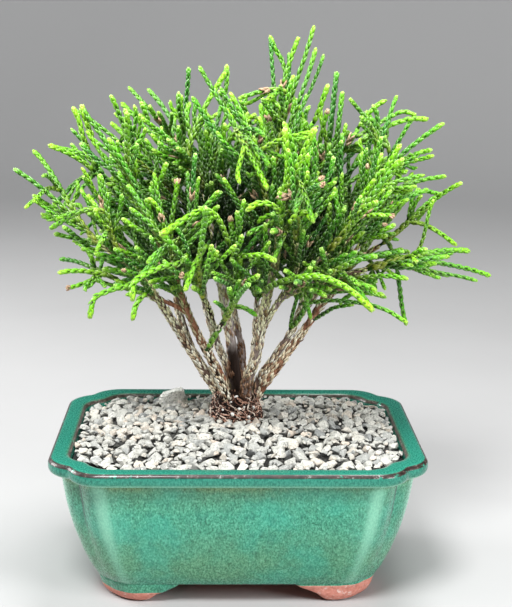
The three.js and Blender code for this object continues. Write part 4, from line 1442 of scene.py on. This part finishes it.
def leaf_template(rings):
    """Across, above and along of each point of a leaf, its rise, and its rim value"""
    rows = []
    for along, width, rise, thickness in rings:
        for across, above, rim in LEAF_SECTION:
            pale = max(rim, 0.7) * (0.25 + 0.75 * along) if rim else 0.55 * along
            rows.append((across * width, above * thickness, along, rise, pale))
    rows.append((0, 0.1, 1.0, 1.0, 1.0))
    size = len(LEAF_SECTION)
    faces = [tuple(reversed(face)) for face in stack_faces(len(rings), size)]
    faces.append(tuple(range(size)))
    last = (len(rings) - 1) * size
    for i in range(size):
        faces.append((last + (i + 1) % size, last + i, last + size))
    return np.array(rows), faces


LEAF = leaf_template(LEAF_RINGS)
FLAKE = leaf_template(FLAKE_RINGS)


def add_leaves(form, leaf, origins, along, radial, lengths, widths, thickness, roots, ends, slot=0, **values):
    """Leaves on given places: each lies along one direction and faces out in another"""
    side = np.cross(radial, along)
    across, above, run, rise, rim = leaf[0].T
    height = roots[:, None] + (ends - roots)[:, None] * rise + thickness[:, None] * above
    points = (origins[:, None, :]
              + along[:, None, :] * (lengths[:, None] * run)[:, :, None]
              + radial[:, None, :] * height[:, :, None]
              + side[:, None, :] * (widths[:, None] * across)[:, :, None])
    count = len(origins)
    size = len(rim)
    faces = [tuple(index + i * size for index in face) for i in range(count) for face in leaf[1]]
    spread = {name: np.repeat(value, size) for name, value in values.items()}
    form.add(points, faces, slot, rim=np.tile(rim, count), **spread)


def flakes(form, twigs, random):
    """Dried scale leaves that still clasp the stems, in pairs of pairs with gaps torn in them"""
    for twig in twigs:
        path, radii = smooth_path(twig)
        total = path_length(path)
        looks = twig["stem"]["looks"]
        kind = "twig" if twig["order"] else "stem"
        count = int(total / FLAKE_PITCH[kind])
        distances = (np.arange(count) + 0.5) * FLAKE_PITCH[kind]
        places = spaced(path, distances)
        run = np.linspace(0, total, len(path))
        radius = np.interp(distances, run, radii)
        along, across, over = frames(places)
        rows = []
        phase = 2 * math.pi * random()
        for i in range(count):
            around = max(3, round(FLAKES_AROUND[kind] * radius[i]))
            for k in range(around):
                keep, wobble, long, wide, lift, tone = (random() for _ in range(6))
                angle = phase + (k + 0.5 * (i % 2) + 0.35 * (wobble - 0.5)) * 2 * math.pi / around
                left = -(across[i][0] * math.cos(angle) + over[i][0] * math.sin(angle))
                patch = noise.noise(Vector(places[i]) * 0.09 + Vector((looks["radius"] * 9, angle * 0.4, 0)))
                bare = looks["bare"] * (0.75 + 2.4 * patch) - 0.6 * looks["grey"] * looks["bare"] * left
                if keep < 0.12 + bare * (places[i][2] < WHOLE_ABOVE):
                    continue
                size = 0.8 + 0.08 * radius[i]
                green = min(max((places[i][2] - GREEN_FROM) / GREEN_RISE, 0), 1) * (0.45 + 0.55 * tone)
                rows.append((i, angle, size * (0.7 + 0.6 * long), size * (0.75 + 0.45 * wide),
                             0.5 + 2.2 * lift ** 4, tone, green))
        if not rows:
            continue
        rows = np.array(rows)
        index = rows[:, 0].astype(int)
        angle = rows[:, 1][:, None]
        radial = across[index] * np.cos(angle) + over[index] * np.sin(angle)
        reach = radius[index]
        red = looks["red"]
        tone = np.clip(rows[:, 5] * (1 - 0.5 * red) + 0.1 * (1 - red), 0, 1)
        seat = places[index]
        # Painted shade: flakes in the hollow between the stems, behind its middle, made darker
        hollow = np.clip((HOLLOW_SHADE["top"] - seat[:, 2]) / HOLLOW_SHADE["fade"], 0, 1)
        hollow *= np.clip((HOLLOW_SHADE["side"] - np.abs(seat[:, 0] - HOLLOW_SHADE["x"])) / HOLLOW_SHADE["edge"], 0, 1)
        tone *= 1 - 0.9 * hollow * (seat[:, 1] > HOLLOW_SHADE["y"])
        add_leaves(form, FLAKE, seat, along[index], radial, FLAKE_LENGTH * rows[:, 2],
                   FLAKE_HALF_WIDTH * rows[:, 3], np.full(len(rows), FLAKE_THICKNESS), reach * 0.86,
                   reach * 0.94 + 0.35 * rows[:, 4], tone=tone, fresh=rows[:, 6])


def root_tubes(form, random):
    """Wiry roots that spread over the crown of the root and dip into the gravel"""
    for _ in range(ROOT_COUNT):
        angle = 2 * math.pi * random()
        height = 1 + 19 * random() ** 1.1
        drop = drawn(random, 0.15, 0.75)
        sweep = 2.4 * (random() - 0.5)
        radius = 0.2 + 0.5 * random() ** 3
        waves = [2 * math.pi * random() for _ in range(3)]
        path = []
        for i in range(ROOT_STEPS + 1):
            share = i / ROOT_STEPS
            level = height - (height + 3.2) * share * drop - 0.8 * math.sin(4 * share + waves[0])
            reach = np.interp(level, *ROOT_REACH)
            reach += 0.2 + 1.1 * math.sin(7 * share + waves[1]) ** 2 + 0.9 * share
            turn = angle + sweep * share + 0.12 * math.sin(9 * share + waves[2])
            path.append((ROOT["x"] + reach * math.cos(turn), ROOT["y"] + reach * math.sin(turn), level))
        tube(form, path, np.linspace(radius, 0.6 * radius, ROOT_STEPS + 1), 4, tone=random() ** 1.2)


def make_wood(twigs):
    random = seeded(LOOKS_SEED)
    core = Form("grey", "red", "dark")
    crown_body(core)
    stem_tubes(core, twigs, random)
    scales = Form("tone", "fresh", "rim")
    flakes(scales, twigs, random)
    roots = Form("tone")
    root_tubes(roots, random)
    perlite = Form()
    for x, height in PERLITE:
        depth = math.sqrt(np.interp(height, *PERLITE_REACH) ** 2 - (x - ROOT["x"]) ** 2)
        points, faces = stone_kind(random, 14, 0.12)
        size = drawn(random, 0.7, 0.6)
        perlite.add(points * PERLITE_SIZE * size + vector((x, ROOT["y"] - depth, height)), faces)
    pieces = {
        "barked_stems": (core, bark_material()),
        "dried_scale_leaves": (scales, flake_material()),
        "surface_roots": (roots, root_material()),
        "perlite_grains": (perlite, perlite_material()),
    }
    for name, (form, material) in pieces.items():
        piece = form.build(name, [material])
        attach(piece, "root")
        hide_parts("wood")


# Foliage

def inner_shade(places):
    """How far inside the crown leaves sit, where their colour is darkened as painted shade"""
    rise = places[:, 2] - CROWN["z"]
    depth = places[:, 1] - CROWN["y"]
    away = np.sqrt(((places[:, 0] - CROWN["x"]) / CROWN["side"]) ** 2
                   + (depth / np.where(depth < 0, CROWN["front"], CROWN["back"])) ** 2
                   + (rise / np.where(rise < 0, CROWN["down"], CROWN["up"])) ** 2)
    return np.clip((SHADE_REACH[1] - away) / (SHADE_REACH[1] - SHADE_REACH[0]), 0, 1)


def whip_leaves(form, whip, random):
    """One whip: a thin green core under pairs of scale leaves, each pair turned a quarter"""
    curve = whip["line"] if "line" in whip else bezier(whip["curve"], FINE_SHARES)
    total = path_length(curve)
    from_tip = list(TIP_NODES)
    while from_tip[-1] + LEAF_PITCH < total - 0.5:
        from_tip.append(from_tip[-1] + LEAF_PITCH)
    from_tip = np.array([d for d in from_tip if d < total - 0.5][::-1])
    places = spaced(curve, total - from_tip)
    along, across, over = frames(places)
    girth = whip["girth"] * np.interp(from_tip, [0, total], [1, whip["foot"]])
    young = np.clip(1 - from_tip / whip["fresh"], 0, 1)
    aged = np.clip((from_tip / total - 0.35) / 0.65, 0, 1) * whip["aged"]
    shade = inner_shade(places)
    taper = np.interp(from_tip, *LEAF_TAPER) * girth
    spread = np.interp(from_tip, *LEAF_OPENING) * girth
    reach = LEAF_LENGTH * np.interp(from_tip, *LEAF_GROWTH)
    dry = (from_tip < DRY_TIP) if whip["dry"] == "tip" else np.abs(from_tip - 0.55 * total) < DRY_JOINT
    rows = []
    for i in range(len(places)):
        for k in (0, 1):
            turn = whip["roll"] + math.pi * k + (math.pi / 2) * (i % 2) + 0.25 * (random() - 0.5)
            rows.append((i, turn, drawn(random, 0.9, 0.22), 0.85 + 0.3 * random() ** 2, random()))
    rows = np.array(rows)
    order = rows[:, 0].astype(int)
    dried = dry[order] & bool(whip["dry"])
    inner = shade[order] > FINE_SHADE
    for slot, leaf, mask in ((0, LEAF, ~dried & ~inner), (0, FLAKE, ~dried & inner), (1, LEAF, dried)):
        kept = rows[mask]
        if not len(kept):
            continue
        index = kept[:, 0].astype(int)
        turn = kept[:, 1][:, None]
        radial = across[index] * np.cos(turn) + over[index] * np.sin(turn)
        size = taper[index] * (1.2 if slot else 1)
        open_out = spread[index] * LEAF_SPREAD * kept[:, 3] * (1.7 if slot else 1)
        tone = np.clip(whip["tone"] + 0.35 * (kept[:, 4] - 0.5), 0, 1)
        add_leaves(form, leaf, places[index], along[index], radial, reach[index] * size * kept[:, 2],
                   LEAF_HALF_WIDTH * size, LEAF_THICKNESS * size, np.full(len(kept), LEAF_ROOT) * size,
                   open_out, slot, young=young[index], tone=tone, aged=aged[index], shade=shade[index])
    core = np.vstack([curve[:1], places[1::2], curve[-1:]])
    shrink = np.concatenate([[whip["foot"]], np.interp(from_tip[1::2], [0, 3, 6], [0.35, 0.8, 1]), [0.2]])
    # The core takes half the painted shade
    tube(form, core, CORE_RADIUS * whip["girth"] * shrink, 5, young=0.2, tone=whip["tone"], shade=0.5)


def fill_tips(sprays, random):
    """Places for more tips, spread evenly between the grown ones"""
    grown = np.array([whip["path"][-1] for whips in sprays.values() for whip in whips])
    known = np.vstack([grown, np.zeros((FILL_COUNT, 3))])
    count = len(grown)
    for _ in range(FILL_TRIES):
        if count == len(known):
            break
        tip = place_in_crown(
            2 * math.pi * random(), mix(*FILL_RISE, random()), mix(*FILL_REACH, random() ** 0.6))
        if np.linalg.norm(known[:count] - tip, axis=1).min() > FILL_SPACING:
            known[count] = tip
            count += 1
    tips = list(known[len(grown):count])
    middle = vector((CROWN["x"], CROWN["y"], CROWN["z"] - 60))
    tips.sort(key=lambda tip: -length_of(tip - middle))
    return tips


class Forks:
    """Places on twigs and whips that more whips can leave from, each with its way on"""

    def __init__(self):
        self.points = np.zeros((0, 3))
        self.ways = np.zeros((0, 3))
        self.sprays = []

    def add(self, path, name):
        way = np.diff(path, axis=0)
        self.points = np.vstack([self.points, path[:-1]])
        self.ways = np.vstack([self.ways, way / np.linalg.norm(way, axis=1)[:, None]])
        self.sprays += [name] * len(way)

    def order(self, tip, wish):
        """Forks from the best for a whip of about the wished length to a tip"""
        reach = tip - self.points
        distance = np.linalg.norm(reach, axis=1)
        onward = (reach * self.ways).sum(axis=1) / distance
        outward = (reach @ unit(tip - SWEEP_FROM)) / distance
        cost = np.abs(distance - wish) + FILL_TURN_COST * (2 - onward - outward)
        cost[(distance < LEAST_FILL_LENGTH) | (onward < 0.5) | (outward < LEAST_SWEEP)] = np.inf
        best = np.argsort(cost, kind="stable")[:60:7]
        return [index for index in best if np.isfinite(cost[index])]


def hides_stems(path):
    """Whether a whip hangs low before the bare stems"""
    aside = np.abs(path[:, 0] - CROWN["x"]) > STEM_VIEW["reach"]
    level = np.where(aside, STEM_VIEW["far"], STEM_VIEW["near"]) - STEM_VIEW["slope"] * path[:, 1]
    return bool((path[:, 2] < level).any())


def fills_opening(path):
    """Whether a whip crosses an opening in the crown's edge, as the camera sees it"""
    eye = vector(CAMERA["place"])
    seen = eye + (path - eye) * ((CROWN["y"] - eye[1]) / (path[:, 1] - eye[1]))[:, None]
    x, z, wide, high = OPENINGS.T
    return bool((((seen[:, :1] - x) / wide) ** 2 + ((seen[:, 2:] - z) / high) ** 2 < 1).any())


class Crowd:
    """The room that whips take up, in cubes of one millimetre"""

    def __init__(self, sprays):
        self.low, self.high = ((vector(corner) - ORIGIN) / MILLIMETRE for corner in MODEL_BOX)
        self.taken = np.zeros((self.high - self.low).astype(int) + 2 * CROWD_MARGIN, bool)
        near = np.arange(-CROWD_MARGIN, CROWD_MARGIN + 1)
        ball = np.stack(np.meshgrid(near, near, near), axis=-1).reshape(-1, 3)
        self.ball = ball[np.linalg.norm(ball, axis=1) < WHIP_SPACING]
        for whips in sprays.values():
            for whip in whips:
                self.add(whip["path"])

    def cubes(self, points):
        places = np.floor(points - self.low).astype(int) + CROWD_MARGIN
        return tuple(np.clip(places, 0, np.array(self.taken.shape) - 1).T)

    def add(self, path):
        self.taken[self.cubes((path[:, None, :] + self.ball).reshape(-1, 3))] = True

    def leaves_free(self, path):
        inside = (path > self.low + 3).all() and (path < self.high - 3).all()
        return inside and not self.taken[self.cubes(path)].any()


def free_whip(start, leave, landing, tip, sway, fork, crowd, random):
    """A whip through given ends, or none if it touches others beyond its fork"""
    length = length_of(tip - start)
    curve = (start, start + leave * (0.33 * length), tip - landing * (0.33 * length) + sway * length, tip)
    path = bezier(curve, np.linspace(0, 1, math.ceil(length / SAMPLE_STEP) + 1)[:, None])
    free = path[((path - start) ** 2).sum(axis=1) > fork ** 2]
    if not len(free) or hides_stems(free) or not crowd.leaves_free(free) or fills_opening(free):
        return None
    crowd.add(path[1:])
    return {"curve": curve, "path": path, "roll": math.pi * random()}


def random_turn(random):
    return vector((random() - 0.5, random() - 0.5, random() - 0.5))


def plume_whips(sprays, crowd, random):
    """Long whips beside the grown ones, which they hardly spread from"""
    for whips in sprays.values():
        for parent in [whip for whip in whips if "curve" in whip]:
            curve = parent["curve"]
            for _ in range(int(path_length(parent["path"]) / PLUME_PITCH)):
                for _ in range(PLUME_TRIES):
                    leave, arrive = mix(*PLUME_LEAVE, random()), mix(*PLUME_ARRIVE, random())
                    start, ahead = bezier(curve, leave), bezier(curve, leave + 0.02)
                    before, end = bezier(curve, arrive - 0.04), bezier(curve, arrive)
                    landing = unit(end - before)
                    side = random_turn(random)
                    side = unit(side - landing * side.dot(landing))
                    tip = end + side * mix(*PLUME_GAP, random())
                    way = unit(unit(ahead - start) + side * PLUME_TURN)
                    sway = 0.04 * random_turn(random)
                    whip = free_whip(start, way, landing, tip, sway, PLUME_FORK, crowd, random)
                    if whip:
                        whips.append(whip)
                        break


def fill_crown(twigs, sprays, crowd, random):
    """More whips in what is left free, each bent until it keeps clear of the rest"""
    forks = Forks()
    for name, whips in sprays.items():
        for whip in whips:
            forks.add(whip["path"][:int(0.75 * len(whip["path"])) + 1], name)
    for twig in twigs:
        if twig["name"]:
            path, _ = smooth_path(twig)
            forks.add(path[-12 if twig["order"] else -24::3], twig["name"])
    for tip in fill_tips(sprays, random):
        wish = mix(*FILL_LENGTH, random())
        for fork in forks.order(tip, wish):
            whip = filling_whip(forks.points[fork], forks.ways[fork], tip, crowd, random)
            if whip:
                sprays[forks.sprays[fork]].append(whip)
                forks.add(whip["path"][1:len(whip["path"]) // 2 + 1], forks.sprays[fork])
                break


def filling_whip(start, onward, wish, crowd, random):
    """First of some bends of a whip to a tip that is free beyond its own fork"""
    for bend in range(FILL_BENDS):
        tip = wish + random_turn(random) * (1.2 * bend)
        chord = tip - start
        length = length_of(chord)
        landing = chord / length
        landing[2] -= 0.5 * WHIP_DROOP * math.hypot(chord[0], chord[1]) / length
        sway = random_turn(random) * (0.03 + 0.012 * bend)
        way = unit(onward + chord / length)
        whip = free_whip(start, way, unit(landing), tip, sway, FILL_FORK, crowd, random)
        if whip:
            return whip
    return None


def arch_whips(sprays):
    """Adds the whips whose points are listed, each to the spray that is nearest to its foot"""
    for girth, fresh, points in ARCHED_WHIPS:
        points = [vector(point) for point in points]
        line = np.array([catmull_rom(points, i / FINE_STEPS) for i in range(FINE_STEPS + 1)])
        path = spaced(line, np.arange(0, path_length(line), SAMPLE_STEP))
        gaps = {name: min(np.linalg.norm(whip["path"] - line[0], axis=1).min() for whip in whips)
                for name, whips in sprays.items()}
        sprays[min(gaps, key=gaps.get)].append({
            "line": line, "path": path, "roll": 0.4, "girth": girth, "fresh": 20 + 60 * fresh,
            "tone": 0.2 + 0.75 * fresh, "dry": "", "aged": 0.3, "foot": 1.0,
        })


def make_foliage(twigs, sprays):
    random = seeded(LOOKS_SEED + 1)
    for whips in sprays.values():
        for i, whip in enumerate(whips):
            whip["foot"] = 1.3 if i == 0 else 1.1
            whip["aged"] = 1.0 if i == 0 else 0.55
    arch_whips(sprays)
    crowd = Crowd(sprays)
    plume_whips(sprays, crowd, random)
    fill_crown(twigs, sprays, crowd, random)
    materials = [leaf_material(), bud_material()]
    for name, whips in sprays.items():
        form = Form("young", "rim", "tone", "aged", "shade")
        for whip in whips:
            whip.setdefault("foot", 0.95)
            whip.setdefault("aged", 0.3)
            girth, fresh, tone, luck = (random() for _ in range(4))
            dry = "tip" if luck < DRY_TIPS else "joint" if luck < DRY_TIPS + DRY_JOINTS else ""
            whip.setdefault("girth", 0.82 + 0.26 * girth)
            whip.setdefault("fresh", 7 + 48 * fresh ** 2.4)
            whip.setdefault("tone", tone)
            whip.setdefault("dry", dry)
            whip_leaves(form, whip, random)
        piece = form.build(name.replace("spray", "foliage"), materials)
        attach(piece, "root")
        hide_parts(name)


# Studio

def make_floor():
    """A pale floor that turns up all round into a far wall, dark above what the camera sees"""
    rings = [(radius, 0) for radius in FLOOR_RADII]
    for turn in np.linspace(0, math.pi / 2, FLOOR_CURVE_STEPS + 1)[1:]:
        rings.append((
            FLOOR_RADII[-1] + FLOOR_CURVE * math.sin(turn), FLOOR_CURVE - FLOOR_CURVE * math.cos(turn)))
    rings.append((FLOOR_RADII[-1] + FLOOR_CURVE, FLOOR_TOP))
    points = [(0, 0, 0)]
    for radius, height in rings:
        for k in range(FLOOR_SIDES):
            angle = 2 * math.pi * k / FLOOR_SIDES
            points.append((radius * math.cos(angle), radius * math.sin(angle), height))
    faces = [(0, 1 + k, 1 + (k + 1) % FLOOR_SIDES) for k in range(FLOOR_SIDES)]
    faces += [tuple(1 + index for index in face) for face in stack_faces(len(rings), FLOOR_SIDES)]
    mesh = bpy.data.meshes.new("floor")
    mesh.from_pydata(points, [], [tuple(reversed(face)) if len(face) == 4 else face for face in faces])
    mesh.polygons.foreach_set("use_smooth", [True] * len(faces))
    points = np.array(points)
    distance = np.linalg.norm(points[:, :2], axis=1)
    values = {
        "far": (distance - FAR_FROM) / FAR_FADE,
        "high": (points[:, 2] - DARK_ABOVE) / DARK_FADE,
    }
    for name, value in values.items():
        layer = mesh.attributes.new(name, "FLOAT", "POINT")
        layer.data.foreach_set("value", np.clip(value, 0, 1).astype(np.float32))
    mesh.materials.append(floor_material())
    floor = bpy.data.objects.new("floor", mesh)
    bpy.context.scene.collection.objects.link(floor)


def make_light(name, place, size, power, target):
    light = bpy.data.lights.new(name, "AREA")
    light.shape = "DISK"
    light.size = size
    light.energy = power
    lamp = bpy.data.objects.new(name, light)
    lamp.location = place
    lamp.rotation_mode = "QUATERNION"
    lamp.rotation_quaternion = (Vector(target) - Vector(place)).to_track_quat("-Z", "Y")
    bpy.context.scene.collection.objects.link(lamp)


def make_studio():
    make_floor()
    for name, values in LIGHTS.items():
        make_light(name, target=(ORIGIN[0], ORIGIN[1], LIT_HEIGHT), **values)
    world = bpy.data.worlds.new("studio")
    world.use_nodes = True
    background = world.node_tree.nodes["Background"]
    background.inputs["Color"].default_value = (*WORLD_COLOUR, 1)
    background.inputs["Strength"].default_value = WORLD_STRENGTH
    bpy.context.scene.world = world
    bpy.context.scene.view_settings.view_transform = "Standard"


def make_camera():
    yaw, pitch, roll = (math.radians(CAMERA[name]) for name in ("yaw", "pitch", "roll"))
    forward = Vector((math.sin(yaw) * math.cos(pitch), math.cos(yaw) * math.cos(pitch), -math.sin(pitch)))
    level = Vector((math.cos(yaw), -math.sin(yaw), 0))
    raised = level.cross(forward)
    right = level * math.cos(roll) + raised * math.sin(roll)
    up = raised * math.cos(roll) - level * math.sin(roll)
    lens = bpy.data.cameras.new("camera")
    lens.sensor_width = SENSOR
    lens.lens = SENSOR * FOCAL_PIXELS / max(IMAGE)
    camera = bpy.data.objects.new("camera", lens)
    place = Vector(CAMERA["place"]) * MILLIMETRE + Vector(ORIGIN)
    camera.matrix_world = Matrix((
        (right.x, up.x, -forward.x, place.x),
        (right.y, up.y, -forward.y, place.y),
        (right.z, up.z, -forward.z, place.z),
        (0, 0, 0, 1),
    ))
    bpy.context.scene.collection.objects.link(camera)
    bpy.context.scene.camera = camera


def dress_node(name, material):
    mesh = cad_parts[name].data
    mesh.materials.clear()
    mesh.materials.append(material)


make_camera()
twigs, sprays = grow_tree()
make_pot()
make_gravel()
make_wood(twigs)
make_foliage(twigs, sprays)
dress_node("soil", soil_material())
screen = screen_material()
for side in ("left", "right"):
    dress_node(f"drain_screen_{side}", screen)
make_studio()

bpy.context.view_layer.update()
